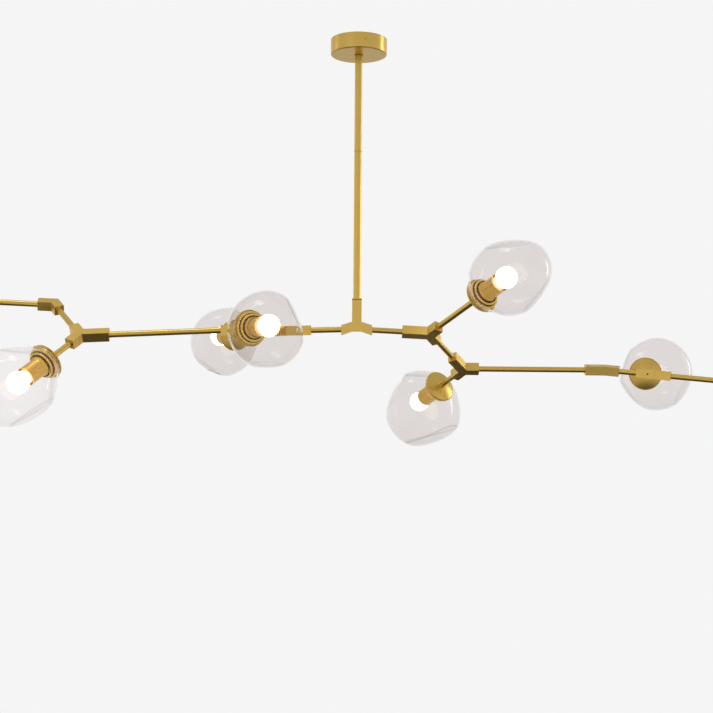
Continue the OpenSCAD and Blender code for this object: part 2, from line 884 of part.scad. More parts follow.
arm_tube(right_second, y_angle, short_arm, reach_right_second);  // arm_tube_right_second
cap(light_right_second);  // cap_right_second
holder(light_right_second);  // holder_right_second
bulb(light_right_second);  // bulb_right_second
bubble(light_right_second, shape_right_second);  // glass_right_second

union() {  // arm_tubes_outer_right
    arm_tube(right_outer, side_angle, short_arm, reach_right_outer);
    arm_tube(right_outer, 0, outer_arm, reach_far_right);
}
union() {  // caps_outer_right
    cap(light_right_outer);
    cap(light_far_right);
}
union() {  // holders_outer_right
    holder(light_right_outer);
    holder(light_far_right);
}
union() {  // bulbs_outer_right
    bulb(light_right_outer);
    bulb(light_far_right);
}
bubble(light_right_outer, shape_right_outer);  // glass_right_outer
bubble(light_far_right, shape_far_right);  // glass_far_right
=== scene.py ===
"""Branch chandelier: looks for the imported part, laid out as an add-on and run as a script."""

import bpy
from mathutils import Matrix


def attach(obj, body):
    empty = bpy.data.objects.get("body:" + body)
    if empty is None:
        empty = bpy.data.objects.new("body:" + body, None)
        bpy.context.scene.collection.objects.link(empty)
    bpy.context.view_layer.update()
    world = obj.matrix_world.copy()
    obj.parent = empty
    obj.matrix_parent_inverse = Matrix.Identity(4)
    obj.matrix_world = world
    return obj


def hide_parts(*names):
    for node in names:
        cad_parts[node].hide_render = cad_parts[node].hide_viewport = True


bl_info = {
    "name": "Branch chandelier",
    "version": (1, 0, 0),
    "blender": (4, 5, 0),
    "location": "3D View > Sidebar > Chandelier",
    "description": "Satin brass, blown glass and lit bulbs around the chandelier's fixed frame",
    "category": "Object",
}

from math import asin, atan, cos, pi, radians, sin, sqrt

import bmesh
import bpy
import numpy as np
from bpy.props import FloatProperty, FloatVectorProperty, IntProperty, PointerProperty
from mathutils import Matrix, Vector

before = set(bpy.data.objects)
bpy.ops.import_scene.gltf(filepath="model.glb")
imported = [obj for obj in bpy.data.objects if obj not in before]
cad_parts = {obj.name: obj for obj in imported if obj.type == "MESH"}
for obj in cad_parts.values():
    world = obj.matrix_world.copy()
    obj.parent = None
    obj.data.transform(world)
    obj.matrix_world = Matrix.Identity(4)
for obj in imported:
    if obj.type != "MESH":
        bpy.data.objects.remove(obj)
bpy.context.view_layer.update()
MM = 0.001


# ---- Settings a user would change ----


class ChandelierSizes(bpy.types.PropertyGroup):
    """Sizes of the pieces that are made here, in metres"""

    rod_d: FloatProperty(
        name="Rod", description="Outside diameter of the branch rods", default=0.012, unit="LENGTH"
    )
    stem_d: FloatProperty(
        name="Stem", description="Outside diameter of the stem", default=0.016, unit="LENGTH"
    )
    glass_wall: FloatProperty(
        name="Glass wall", description="Thickness of the blown glass", default=0.003, unit="LENGTH"
    )
    neck_d: FloatProperty(
        name="Glass neck", description="Diameter of the glass neck", default=0.072, unit="LENGTH"
    )
    holder_d: FloatProperty(
        name="Lampholder", description="Diameter of the lampholder", default=0.038, unit="LENGTH"
    )
    bulb_d: FloatProperty(
        name="Bulb", description="Diameter of the globe bulb", default=0.0435, unit="LENGTH"
    )
    edge_round: FloatProperty(
        name="Edge", description="Width of a cast block's broken edge", default=0.001, unit="LENGTH"
    )
    round_steps: IntProperty(
        name="Steps", description="Segments round a turned piece", default=96, min=24, max=160
    )


class ChandelierFinish(bpy.types.PropertyGroup):
    """Colours and gloss of the finishes"""

    brass: FloatVectorProperty(
        name="Brass", description="Colour of the satin brass", subtype="COLOR", default=(0.68, 0.463, 0.115)
    )
    brass_rough: FloatProperty(
        name="Brass roughness", description="How matt the satin brass is", default=0.3, min=0, max=1
    )
    glass: FloatVectorProperty(
        name="Glass", description="Tint of the clear glass", subtype="COLOR", default=(0.897, 0.874, 0.863)
    )
    bulb_glow: FloatProperty(
        name="Glow", description="Brightness of a lit bulb", default=1.25, min=0, max=20
    )
    backdrop: FloatProperty(
        name="Backdrop", description="Brightness of the plain background", default=0.915, min=0, max=1
    )


def sizes():
    """The sizes as the panel has them"""
    return bpy.context.scene.chandelier_sizes


def finish():
    """The colours and gloss as the panel has them"""
    return bpy.context.scene.chandelier_finish


# ---- Where each block stands: the same chain as in the part's source, in metres ----


def move(x, y=0.0, z=0.0):
    """A shift, given in millimetres"""
    return Matrix.Translation((x * MM, y * MM, z * MM))


def turn(degrees, axis):
    """A turn about one of the axes"""
    return Matrix.Rotation(radians(degrees), 4, axis)


def next_block(start, branch, run, twist):
    """The frame of the block at the end of a branch, twisted about its rod"""
    return start @ turn(branch, "Z") @ move(run) @ turn(twist, "X")


Y_ANGLE = 60
SIDE_ANGLE = 90
RIGHT_BEND = 20
LEFT_BEND = 64
HUB_Z = -620
# From one hub to the next
CENTRE_RUN = 154
RIGHT_LINK_RUN, RIGHT_LONG_RUN, RIGHT_ELBOW_RUN = 170, 313, 84
LEFT_LINK_RUN, LEFT_LONG_RUN, LEFT_OUTER_RUN = 166, 315, 146
# From a block's hub to the end of its arm. A rod sits in an arm by SEAT, in the centre block's by its own
LONG_ARM, SHORT_ARM, OUTER_ARM, FLUSH_ARM = 58, 34, 60, 14
ELBOW_ARM, ELBOW_SHORT, RIGHT_ELBOW_ARM = 44, 27, 32
CENTRE_ARM, CENTRE_SEAT = 32.5, 10
HALF_SQUARE = 10
SEAT = 14

CENTRE = move(0, 0, HUB_Z)
RIGHT_START = CENTRE @ turn(2.7, "Y")
RIGHT_INNER = next_block(RIGHT_START, 0, CENTRE_RUN, -25.5)
RIGHT_SECOND = next_block(RIGHT_INNER, Y_ANGLE, RIGHT_LINK_RUN, -3.5)
RIGHT_ELBOW = next_block(RIGHT_SECOND, -Y_ANGLE, RIGHT_LONG_RUN, 45)
RIGHT_OUTER = next_block(RIGHT_ELBOW, -RIGHT_BEND, RIGHT_ELBOW_RUN, -14)
LEFT_START = CENTRE @ turn(180, "Z") @ turn(1.8, "Y")
LEFT_INNER = next_block(LEFT_START, 0, CENTRE_RUN, -3)
LEFT_SECOND = next_block(LEFT_INNER, Y_ANGLE, LEFT_LINK_RUN, 1)
LEFT_OUTER = next_block(LEFT_SECOND, -Y_ANGLE, LEFT_LONG_RUN, -34)
LEFT_ELBOW = next_block(LEFT_OUTER, -Y_ANGLE, LEFT_OUTER_RUN, 9)


def light_frame(block, branch, reach):
    """A light's own frame: Z along the arm, zero at the glass neck."""
    return block @ turn(branch, "Z") @ move(reach) @ turn(90, "Y")


# name: body, block, branch angle, length of the block's arm, reach from its hub to the glass neck
LIGHTS = {
    "far_left": ("left_end", LEFT_ELBOW, LEFT_BEND, SHORT_ARM, 190),
    "left_outer": ("left_outer", LEFT_OUTER, Y_ANGLE, SHORT_ARM, 112),
    "left_second": ("left_second", LEFT_SECOND, Y_ANGLE, SHORT_ARM, 64),
    "left_inner": ("left_inner", LEFT_INNER, -Y_ANGLE, SHORT_ARM, 252),
    "right_inner": ("right_inner", RIGHT_INNER, -Y_ANGLE, SHORT_ARM, 192),
    "right_second": ("right_second", RIGHT_SECOND, Y_ANGLE, SHORT_ARM, 100),
    "right_outer": ("right_outer", RIGHT_OUTER, SIDE_ANGLE, SHORT_ARM, 60),
    "far_right": ("right_outer", RIGHT_OUTER, 0, OUTER_ARM, 200),
}
# The outer right body carries two lights, and its CAD nodes hold both
SHARED_BODY = "right_outer"

# name: radius, stretch along the arm, lean, and dents as [from the arm's axis, round it, half-angle, depth],
# in millimetres and degrees
BUBBLES = {
    "far_left": (79, 1, (3, 4), [
        [40, 60, 30, 8], [75, 200, 32, 8], [95, 320, 26, 6]]),
    "left_outer": (78.5, 1.098, (6.3, -6.1), [
        [128, 75, 35, 4.3], [78, 37, 39, 4.8], [125, -168, 40, 8.7]]),
    "left_second": (75.8, 0.963, (7.9, 0), [
        [64, 112, 36, 9.5], [96, 1, 24, 3.8], [99, -137, 24, 1.3], [56, 93, 30, 1.5]]),
    "left_inner": (79, 0.972, (12.8, -7.8), [
        [77, 26, 28, 2.7], [76.5, 21, 21, 4.8], [85, 148, 33, 1.1]]),
    "right_inner": (76.4, 1.14, (-5.6, 9.7), [
        [70, 61, 32, 5.3], [138, -6.5, 31, 4.6], [141, -64.5, 36, 4.1], [63, -160, 36, 7.4]]),
    "right_second": (94, 0.926, (10.8, -16.9), [
        [89, 130, 27, 3.4], [82, -32, 40, 11.8], [80, 113, 40, 10.8], [126, 166, 39, 10.3]]),
    "right_outer": (83.8, 1.007, (-1.2, -13.8), [
        [87, -70, 27.5, 2.8], [100, 49, 36.5, 5.9], [103, 103, 39, 9.7], [100, 140, 29, 4.6]]),
    "far_right": (78, 1.02, (-3, 4), [
        [45, 120, 30, 8], [80, 240, 30, 8], [90, 10, 26, 6]]),
}


# ---- Finishes ----


class Wires:
    """Short calls to add and link the nodes of any tree"""

    def __init__(self, tree):
        self.nodes = tree.nodes
        self.links = tree.links

    def add(self, kind, inputs=None, **settings):
        """A node with its settings, its inputs linked from sockets or set to values"""
        node = self.nodes.new(kind)
        for key, value in settings.items():
            setattr(node, key, value)
        for key, value in (inputs or {}).items():
            if isinstance(value, bpy.types.NodeSocket):
                self.links.new(value, node.inputs[key])
            else:
                node.inputs[key].default_value = value
        return node

    def math(self, operation, *values):
        """One step of arithmetic"""
        return self.add("ShaderNodeMath", dict(enumerate(values)), operation=operation).outputs[0]

    def vector(self, operation, *values):
        """One step of arithmetic on vectors"""
        node = self.add("ShaderNodeVectorMath", dict(enumerate(values)), operation=operation)
        return node.outputs["Value"] if operation in ("DOT_PRODUCT", "LENGTH") else node.outputs[0]

    def scaled(self, vector, factor):
        """A vector times a number"""
        return self.add("ShaderNodeVectorMath", {0: vector, "Scale": factor}, operation="SCALE").outputs[0]


class Tree(Wires):
    """The shader tree of a material, or of a world"""

    def __init__(self, name, store="materials", output="ShaderNodeOutputMaterial"):
        self.owner = getattr(bpy.data, store).new(name)
        self.owner.use_nodes = True
        super().__init__(self.owner.node_tree)
        self.nodes.clear()
        self.output = self.nodes.new(output)

    def place(self, scale=(1, 1, 1)):
        """The point on the piece, in Object coordinates"""
        coords = self.add("ShaderNodeTexCoord")
        return self.add("ShaderNodeMapping", {"Vector": coords.outputs["Object"], "Scale": scale}).outputs[0]

    def noise(self, vector, scale, detail=4.0, rough=0.55):
        """Cloudiness, its scale in clouds a metre"""
        node = self.add(
            "ShaderNodeTexNoise",
            {"Vector": vector, "Scale": scale, "Detail": detail, "Roughness": rough},
        )
        return node.outputs["Fac"]

    def span(self, value, low, high, low_in=0.3, high_in=0.7):
        """A value spread over another range, kept inside it"""
        return self.add(
            "ShaderNodeMapRange",
            {"Value": value, "From Min": low_in, "From Max": high_in, "To Min": low, "To Max": high},
        ).outputs[0]

    def blend_colour(self, factor, first, second):
        """A colour between two"""
        node = self.add("ShaderNodeMix", data_type="RGBA")
        self.links.new(factor, node.inputs[0])
        node.inputs[6].default_value = (*first, 1)
        node.inputs[7].default_value = (*second, 1)
        return node.outputs[2]

    def mix(self, factor, first, second):
        """A shader between two"""
        node = self.add("ShaderNodeMixShader", {0: factor})
        self.links.new(first.outputs[0], node.inputs[1])
        self.links.new(second.outputs[0], node.inputs[2])
        return node

    def bump(self, height, strength, distance):
        """An uneven skin, without its shape"""
        return self.add(
            "ShaderNodeBump", {"Height": height, "Strength": strength, "Distance": distance}
        ).outputs[0]

    def seen(self):
        """One for rays from the camera, straight or through glass, and zero for all others"""
        path = self.add("ShaderNodeLightPath")
        return self.math("MAXIMUM", path.outputs["Is Camera Ray"], path.outputs["Is Transmission Ray"])

    def close(self, shader):
        """Ends the tree in its shader, and gives the material or world it belongs to"""
        self.links.new(shader.outputs[0], self.output.inputs["Surface"])
        return self.owner


def shade(colour, factor):
    """A lighter or darker colour"""
    return tuple(min(1.0, c * factor) for c in colour)


# How bright a lit bulb is to the metal round it, which it lights warmly
GLOW_ON_METAL = 3.2
# The bulb's neck, as a share of the globe's glow
NECK_GLOW = 0.42
# Across the room, in metres: between these two places the glass tint turns paler towards the left
PALE_FROM, PALE_TO = -0.5, -0.62
# How much of a mirror the skin of the glass is
COAT = 0.6


def satin_brass():
    """Lacquered satin brass: faint cloudiness in colour and gloss"""
    t = Tree("satin brass")
    cloud = t.noise(t.place(), 26)
    brass, rough = finish().brass, finish().brass_rough
    shader = t.add("ShaderNodeBsdfPrincipled", {
        "Base Color": t.blend_colour(t.span(cloud, 0, 1), shade(brass, 0.97), shade(brass, 1.03)),
        "Metallic": 1.0,
        "Roughness": t.span(cloud, rough - 0.02, rough + 0.03),
    })
    return t.close(shader)


def painted_warm_holder_brass():
    """The lampholder tubes: the brass painted redder and darker, painted warm light from the bulb beside them
    and painted shade
    """
    t = Tree("holder brass")
    cloud = t.noise(t.place(), 34)
    # painted light and shade: the bulb's warm light and the shade on the tubes are mixed into their colour
    deep = [c * share for c, share in zip(finish().brass, (0.93, 0.83, 0.75))]
    shader = t.add("ShaderNodeBsdfPrincipled", {
        "Base Color": t.blend_colour(t.span(cloud, 0, 1), shade(deep, 0.94), shade(deep, 1.04)),
        "Metallic": 1.0,
        "Roughness": t.span(cloud, 0.26, 0.31),
    })
    return t.close(shader)


def cast_brass():
    """The cast blocks: the same brass, a little rougher, with a softly uneven skin, and painted a little paler:
    painted light, lifting faces that shade darker than lit ones
    """
    t = Tree("cast brass")
    brass = finish().brass
    place = t.place()
    cloud = t.noise(place, 40)
    skin = t.noise(place, 320, 2.0)
    shader = t.add("ShaderNodeBsdfPrincipled", {
        # painted light: the colour is lifted over the satin brass's so the blocks' faces read brighter
        "Base Color": t.blend_colour(t.span(cloud, 0, 1), shade(brass, 1.03), shade(brass, 1.1)),
        "Metallic": 1.0,
        "Roughness": t.span(cloud, 0.33, 0.38),
        "Normal": t.bump(skin, 0.05, 0.0004),
    })
    return t.close(shader)


def clear_glass():
    """Hand-blown clear glass: thin and barely bending, a faint warm grey, with a mirror-smooth skin"""
    t = Tree("blown glass")
    place = t.place()
    ripple = t.noise(place, 12, 0.0)
    across = t.add("ShaderNodeSeparateXYZ", {0: place}).outputs["X"]
    pale = t.span(across, 1, 0, PALE_TO, PALE_FROM)
    tint = t.blend_colour(pale, finish().glass, (0.98, 0.965, 0.965))
    # painted shade: a dark line round the rim of each dent, where its refraction would draw one
    rim = t.add("ShaderNodeAttribute", attribute_name="dent_rim").outputs["Fac"]
    rim_shade = t.add("ShaderNodeMix", {0: rim, 6: tint}, data_type="RGBA")
    rim_shade.inputs[7].default_value = (0.68, 0.64, 0.60, 1)
    # only the outer skin shines, so the two skins don't mirror each other
    inside = t.add("ShaderNodeNewGeometry").outputs["Backfacing"]
    shader = t.add("ShaderNodeBsdfPrincipled", {
        "Base Color": rim_shade.outputs[2],
        "Roughness": 0.0,
        "IOR": 1.01,
        "Transmission Weight": 1.0,
        "Coat Weight": t.math("SUBTRACT", COAT, t.math("MULTIPLY", inside, COAT)),
        "Coat Roughness": 0.0,
        "Coat IOR": 1.5,
        "Normal": t.bump(ripple, 0.05, 0.01),
    })
    path = t.add("ShaderNodeLightPath")
    through = t.add("ShaderNodeBsdfTransparent", {"Color": (0.96, 0.96, 0.955, 1)})
    return t.close(t.mix(path.outputs["Is Shadow Ray"], shader, through))


def lit_bulb():
    """Frosted globe, lit: white, with a soft limb that melts into what surrounds it"""
    t = Tree("lit bulb")
    frost = t.noise(t.place(), 60)
    colour = t.blend_colour(t.span(frost, 0, 1), (1.0, 0.95, 0.84), (1.0, 0.97, 0.89))
    seen = t.seen()
    glow = t.span(seen, GLOW_ON_METAL, finish().bulb_glow, 0, 1)
    shader = t.add("ShaderNodeBsdfPrincipled", {
        "Base Color": colour,
        "Roughness": t.span(frost, 0.4, 0.5),
        "Emission Color": t.blend_colour(seen, (1.0, 0.78, 0.48), (1.0, 0.955, 0.87)),
        "Emission Strength": glow,
    })
    clear = t.add("ShaderNodeBsdfTransparent", {"Color": (1, 1, 1, 1)})
    limb = t.add("ShaderNodeLayerWeight", {"Blend": 0.5})
    return t.close(t.mix(t.span(limb.outputs["Facing"], 0, 1, 0.55, 1.0), shader, clear))


def bulb_neck():
    """The frosted neck under the globe, dimmer and creamier than the globe"""
    t = Tree("bulb neck")
    frost = t.noise(t.place(), 60)
    shader = t.add("ShaderNodeBsdfPrincipled", {
        "Base Color": t.blend_colour(t.span(frost, 0, 1), (0.90, 0.84, 0.70), (0.94, 0.88, 0.76)),
        "Roughness": t.span(frost, 0.4, 0.5),
        "Emission Color": (1.0, 0.90, 0.72, 1),
        "Emission Strength": finish().bulb_glow * NECK_GLOW,
    })
    return t.close(shader)


def porcelain():
    """Glazed white porcelain of the lampholder cores"""
    t = Tree("porcelain")
    speck = t.noise(t.place(), 300)
    colour = t.blend_colour(t.span(speck, 0, 1), (0.86, 0.85, 0.80), (0.90, 0.89, 0.85))
    shader = t.add("ShaderNodeBsdfPrincipled", {
        "Base Color": colour,
        "Roughness": t.span(speck, 0.18, 0.28),
    })
    return t.close(shader)


def plated_steel():
    """Zinc-plated steel of the bracket, nut and grub screws, faintly drawn"""
    t = Tree("plated steel")
    streak = t.noise(t.place((1, 30, 1)), 40)
    colour = t.blend_colour(t.span(streak, 0, 1), (0.42, 0.42, 0.43), (0.56, 0.56, 0.57))
    shader = t.add("ShaderNodeBsdfPrincipled", {
        "Base Color": colour,
        "Metallic": 1.0,
        "Roughness": t.span(streak, 0.32, 0.46),
        "Normal": t.bump(streak, 0.08, 0.0004),
    })
    return t.close(shader)


def painted_shade_fibre():
    """Dark brown fibre, matt: painted shade, for the dark washers between a light's rings, the ring in the
    canopy's hole and the band round the centre block's top
    """
    t = Tree("fibre washer")
    fleck = t.noise(t.place(), 500)
    # painted shade: this dark colour stands in for shade wherever it is used
    colour = t.blend_colour(t.span(fleck, 0, 1), (0.085, 0.048, 0.016), (0.115, 0.068, 0.025))
    shader = t.add("ShaderNodeBsdfPrincipled", {
        "Base Color": colour,
        "Roughness": t.span(fleck, 0.55, 0.7),
        "Specular IOR Level": 0.1,
    })
    return t.close(shader)


def terminal_plastic():
    """Dark moulded plastic of the terminal block"""
    t = Tree("terminal plastic")
    cloud = t.noise(t.place(), 200)
    colour = t.blend_colour(t.span(cloud, 0, 1), (0.045, 0.043, 0.042), (0.065, 0.062, 0.06))
    shader = t.add("ShaderNodeBsdfPrincipled", {
        "Base Color": colour,
        "Roughness": t.span(cloud, 0.35, 0.45),
        "Normal": t.bump(cloud, 0.05, 0.0005),
    })
    return t.close(shader)


MAKERS = {
    "satin_brass": satin_brass,
    "cast_brass": cast_brass,
    "painted_warm_holder_brass": painted_warm_holder_brass,
    "clear_glass": clear_glass,
    "lit_bulb": lit_bulb,
    "bulb_neck": bulb_neck,
    "porcelain": porcelain,
    "plated_steel": plated_steel,
    "painted_shade_fibre": painted_shade_fibre,
    "terminal_plastic": terminal_plastic,
}
FINISHES = {}


def finish_of(name):
    """A finish's material, made once"""
    if name not in FINISHES:
        FINISHES[name] = MAKERS[name]()
    return FINISHES[name]


# ---- Making pieces ----


def outward(verts, faces):
    """Turns every face over if the closed shape is inside out"""
    v = np.asarray(verts, float)
    volume = 0.0
    for face in faces:
        a = v[face[0]]
        for i in range(1, len(face) - 1):
            volume += float(np.dot(a, np.cross(v[face[i]], v[face[i + 1]])))
    return faces if volume > 0 else [face[::-1] for face in faces]


def turned(profile, steps, closed=True):
    """Vertices and faces of a profile of (radius, height) turned about Z.
    A closed profile is a ring; an open one starts and ends on the axis."""
    verts, rows = [], []
    for r, z in profile:
        if r < 1e-6:
            rows.append([len(verts)])
            verts.append((0.0, 0.0, z))
        else:
            rows.append(list(range(len(verts), len(verts) + steps)))
            verts += [(r * cos(2 * pi * s / steps), r * sin(2 * pi * s / steps), z) for s in range(steps)]
    pairs = list(zip(rows, rows[1:]))
    if closed:
        pairs.append((rows[-1], rows[0]))
    faces = []
    for low, high in pairs:
        for s in range(steps):
            n = (s + 1) % steps
            if len(low) == 1 and len(high) == 1:
                continue
            if len(low) == 1:
                faces.append([low[0], high[n], high[s]])
            elif len(high) == 1:
                faces.append([low[s], low[n], high[0]])
            else:
                faces.append([low[s], low[n], high[n], high[s]])
    return verts, faces


def in_metres(profile):
    """A profile drawn in millimetres, in metres"""
    return [(r * MM, z * MM) for r, z in profile]


def arc(centre_r, centre_z, radius, start, end, count):
    """Points of an arc in a profile, angles in degrees from the outward direction"""
    return [
        (centre_r + radius * cos(radians(a)), centre_z + radius * sin(radians(a)))
        for a in np.linspace(start, end, count)
    ]


def smoothed(obj, crease=35):
    """Smooth shading, but for edges sharper than the crease angle"""
    obj.data.shade_smooth()
    obj.data.set_sharp_from_angle(angle=radians(crease))
    return obj


def new_object(name, mesh):
    """A mesh as an object of the scene, at the origin"""
    obj = bpy.data.objects.new(name, mesh)
    bpy.context.scene.collection.objects.link(obj)
    return obj


def new_piece(name, verts, faces):
    """A closed shape as an object, its faces outwards"""
    mesh = bpy.data.meshes.new(name)
    mesh.from_pydata(verts, [], outward(verts, faces))
    return new_object(name, mesh)


def joined(name, parts):
    """One object from several (verts, faces, place)"""
    verts, faces = [], []
    for part_verts, part_faces, place in parts:
        base = len(verts)
        part_faces = outward(part_verts, part_faces)
        verts += [place @ Vector(v) for v in part_verts]
        faces += [[base + i for i in face] for face in part_faces]
    mesh = bpy.data.meshes.new(name)
    mesh.from_pydata(verts, [], faces)
    return smoothed(new_object(name, mesh))


def dress(obj, body, finish_name, *replaced):
    """Gives a piece its finish, its body and the CAD nodes it stands for"""
    obj.data.materials.clear()
    obj.data.materials.append(finish_of(finish_name))
    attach(obj, body)
    if replaced:
        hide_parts(*replaced)
    return obj


def settled(obj):
    """The evaluated object as a plain mesh, its modifiers gone"""
    graph = bpy.context.evaluated_depsgraph_get()
    mesh = bpy.data.meshes.new_from_object(obj.evaluated_get(graph))
    old = obj.data
    obj.modifiers.clear()
    obj.data = mesh
    bpy.data.meshes.remove(old)
    mesh.name = obj.name
    return obj


# ---- Geometry Nodes ----


class Rule(Wires):
    """A Geometry Nodes tree with named inputs, set on an object by socket identifier"""

    def __init__(self, name):
        self.group = bpy.data.node_groups.new(name, "GeometryNodeTree")
        super().__init__(self.group)
        self.face = self.group.interface
        self.face.new_socket("Geometry", in_out="INPUT", socket_type="NodeSocketGeometry")
        self.face.new_socket("Geometry", in_out="OUTPUT", socket_type="NodeSocketGeometry")
        self.start = self.group.nodes.new("NodeGroupInput")
        self.end = self.group.nodes.new("NodeGroupOutput")

    def socket(self, name, kind, default=None):
        """A named input, and where its value comes out inside"""
        item = self.face.new_socket(name, in_out="INPUT", socket_type="NodeSocket" + kind)
        if default is not None:
            item.default_value = default
        return self.start.outputs[name]

    def close(self, geometry):
        """Ends the tree in real geometry with its material"""
        real = self.add("GeometryNodeRealizeInstances", {0: geometry})
        material = self.socket("Material", "Material")
        done = self.add("GeometryNodeSetMaterial", {0: real.outputs[0], "Material": material})
        self.links.new(done.outputs[0], self.end.inputs[0])
        return self.group


def follow(obj, group, values):
    """Puts a rule on an object with its inputs, and keeps what it makes"""
    names = {
        item.name: item.identifier
        for item in group.interface.items_tree
        if item.item_type == "SOCKET" and item.in_out == "INPUT"
    }
    modifier = obj.modifiers.new(group.name, "NODES")
    modifier.node_group = group
    for name, value in values.items():
        modifier[names[name]] = value
    return settled(obj)


# The painted dark line round a dent, standing in for the line its refraction would draw: where it lies, as a
# share of the dent's half-angle, how wide it is in radians, and the depth from which it is at its strongest
RIM_AT, RIM_WIDE, RIM_FULL = 0.96, 0.022, 0.006
# How gently a dent's edge runs out into the round skin
DENT_SOFTNESS = 0.2
# Dents grow in from the neck, which stays round, up to this height in metres
FREE_FROM = 0.014


def dent_rule(count):
    """Presses dents into a round skin about its centre, then stretches and leans it away from the neck"""
    rule = Rule(f"dents {count}")
    centre = rule.socket("Centre height", "Float")
    stretch = rule.socket("Stretch", "Float", 1.0)
    lean = rule.socket("Lean", "Vector")
    soft = rule.socket("Softness", "Float", DENT_SOFTNESS)
    position = rule.add("GeometryNodeInputPosition").outputs[0]
    middle = rule.add("ShaderNodeCombineXYZ", {"Z": centre}).outputs[0]
    ray = rule.vector("SUBTRACT", position, middle)
    direction = rule.vector("NORMALIZE", ray)
    press = rim = None
    for n in range(count):
        towards = rule.socket(f"Dent {n + 1} towards", "Vector")
        half = rule.socket(f"Dent {n + 1} half-angle", "Float", 0.5)
        depth = rule.socket(f"Dent {n + 1} depth", "Float", 0.0)
        dot = rule.vector("DOT_PRODUCT", direction, towards)
        angle = rule.math("ARCCOSINE", rule.math("MINIMUM", rule.math("MAXIMUM", dot, -1.0), 1.0))
        share = rule.math("DIVIDE", angle, half)
        bowl = rule.math("SUBTRACT", 1.0, rule.math("MULTIPLY", share, share))
        # a soft max with zero, so the dent's rim is rounded
        steep = rule.math("DIVIDE", bowl, soft)
        grown = rule.math("EXPONENT", rule.math("MINIMUM", steep, 40.0))
        level = rule.math("MULTIPLY", rule.math("LOGARITHM", rule.math("ADD", 1.0, grown), 2.718282), soft)
        cut = rule.math("MULTIPLY", level, depth)
        press = cut if press is None else rule.math("MAXIMUM", press, cut)
        off = rule.math("DIVIDE", rule.math("SUBTRACT", share, RIM_AT), rule.math("DIVIDE", RIM_WIDE, half))
        line = rule.math("EXPONENT", rule.math("MULTIPLY", rule.math("MULTIPLY", off, off), -1.0))
        edge = rule.math("MULTIPLY", line, rule.math("MINIMUM", rule.math("DIVIDE", depth, RIM_FULL), 1.0))
        rim = edge if rim is None else rule.math("MAXIMUM", rim, edge)
    height = rule.add("ShaderNodeSeparateXYZ", {0: position}).outputs["Z"]
    free = rule.add(
        "ShaderNodeMapRange",
        {"Value": height, "From Min": 0.0, "From Max": FREE_FROM, "To Min": 0.0, "To Max": 1.0},
        interpolation_type="SMOOTHSTEP",
    ).outputs[0]
    inward = rule.scaled(direction, rule.math("MULTIPLY", rule.math("MULTIPLY", press, free), -1.0))
    pressed = rule.vector("ADD", position, inward)
    parts = rule.add("ShaderNodeSeparateXYZ", {0: pressed})
    up = rule.add(
        "ShaderNodeMapRange",
        {"Value": parts.outputs["Z"], "From Min": 0.0, "From Max": centre, "To Min": 0.0, "To Max": 1.0},
        interpolation_type="SMOOTHSTEP",
    ).outputs[0]
    leaned = rule.scaled(lean, up)
    above = rule.math("MAXIMUM", parts.outputs["Z"], 0.0)
    longer = rule.math("MULTIPLY", above, rule.math("SUBTRACT", stretch, 1.0))
    lifted = rule.math("ADD", parts.outputs["Z"], longer)
    placed = rule.add(
        "ShaderNodeCombineXYZ", {"X": parts.outputs["X"], "Y": parts.outputs["Y"], "Z": lifted}
    ).outputs[0]
    moved = rule.add("GeometryNodeSetPosition", {
        "Geometry": rule.start.outputs["Geometry"],
        "Position": rule.vector("ADD", placed, leaned),
    })
    # the painted shade line round each dent's rim, read by the glass's finish
    marked = rule.add(
        "GeometryNodeStoreNamedAttribute", {"Geometry": moved.outputs[0], "Name": "dent_rim", "Value": rim}
    )
    return rule.close(marked.outputs[0])


def rod_rule():
    """A round rod along every edge"""
    rule = Rule("rods")
    diameter = rule.socket("Diameter", "Float", sizes().rod_d)
    sides = rule.socket("Sides", "Int", ROD_SIDES)
    lines = rule.add("GeometryNodeMeshToCurve", {0: rule.start.outputs["Geometry"]})
    ring = rule.add(
        "GeometryNodeCurvePrimitiveCircle",
        {"Resolution": sides, "Radius": rule.math("MULTIPLY", diameter, 0.5)},
    )
    rods = rule.add(
        "GeometryNodeCurveToMesh",
        {"Curve": lines.outputs[0], "Profile Curve": ring.outputs[0], "Fill Caps": True},
    )
    return rule.close(rods.outputs[0])


def screw_rule():
    """A screw at every point, its head turned along the point's own outward direction"""
    rule = Rule("screws")
    screw = rule.socket("Screw", "Object")
    info = rule.add("GeometryNodeObjectInfo", {"Object": screw}, transform_space="ORIGINAL")
    towards = rule.add("GeometryNodeInputNamedAttribute", {"Name": "towards"}, data_type="FLOAT_VECTOR")
    facing = rule.add(
        "FunctionNodeAlignRotationToVector", {"Vector": towards.outputs[0]}, axis="Z"
    )
    points = rule.add("GeometryNodeMeshToPoints", {0: rule.start.outputs["Geometry"]})
    placed = rule.add("GeometryNodeInstanceOnPoints", {
        "Points": points.outputs[0],
        "Instance": info.outputs["Geometry"],
        "Rotation": facing.outputs[0],
    })
    return rule.close(placed.outputs[0])


def screws_on(name, body, finish_name, screw, places):
    """Screws at (point, outward direction) pairs, as one piece on one body"""
    mesh = bpy.data.meshes.new(name)
    mesh.from_pydata([tuple(point) for point, _ in places], [], [])
    towards = mesh.attributes.new("towards", "FLOAT_VECTOR", "POINT")
    towards.data.foreach_set("vector", [c for _, way in places for c in way])
    obj = new_object(name, mesh)
    group = bpy.data.node_groups.get("screws") or screw_rule()
    follow(obj, group, {"Screw": screw, "Material": finish_of(finish_name)})
    obj.data.set_sharp_from_angle(angle=radians(30))
    return dress(obj, body, finish_name)


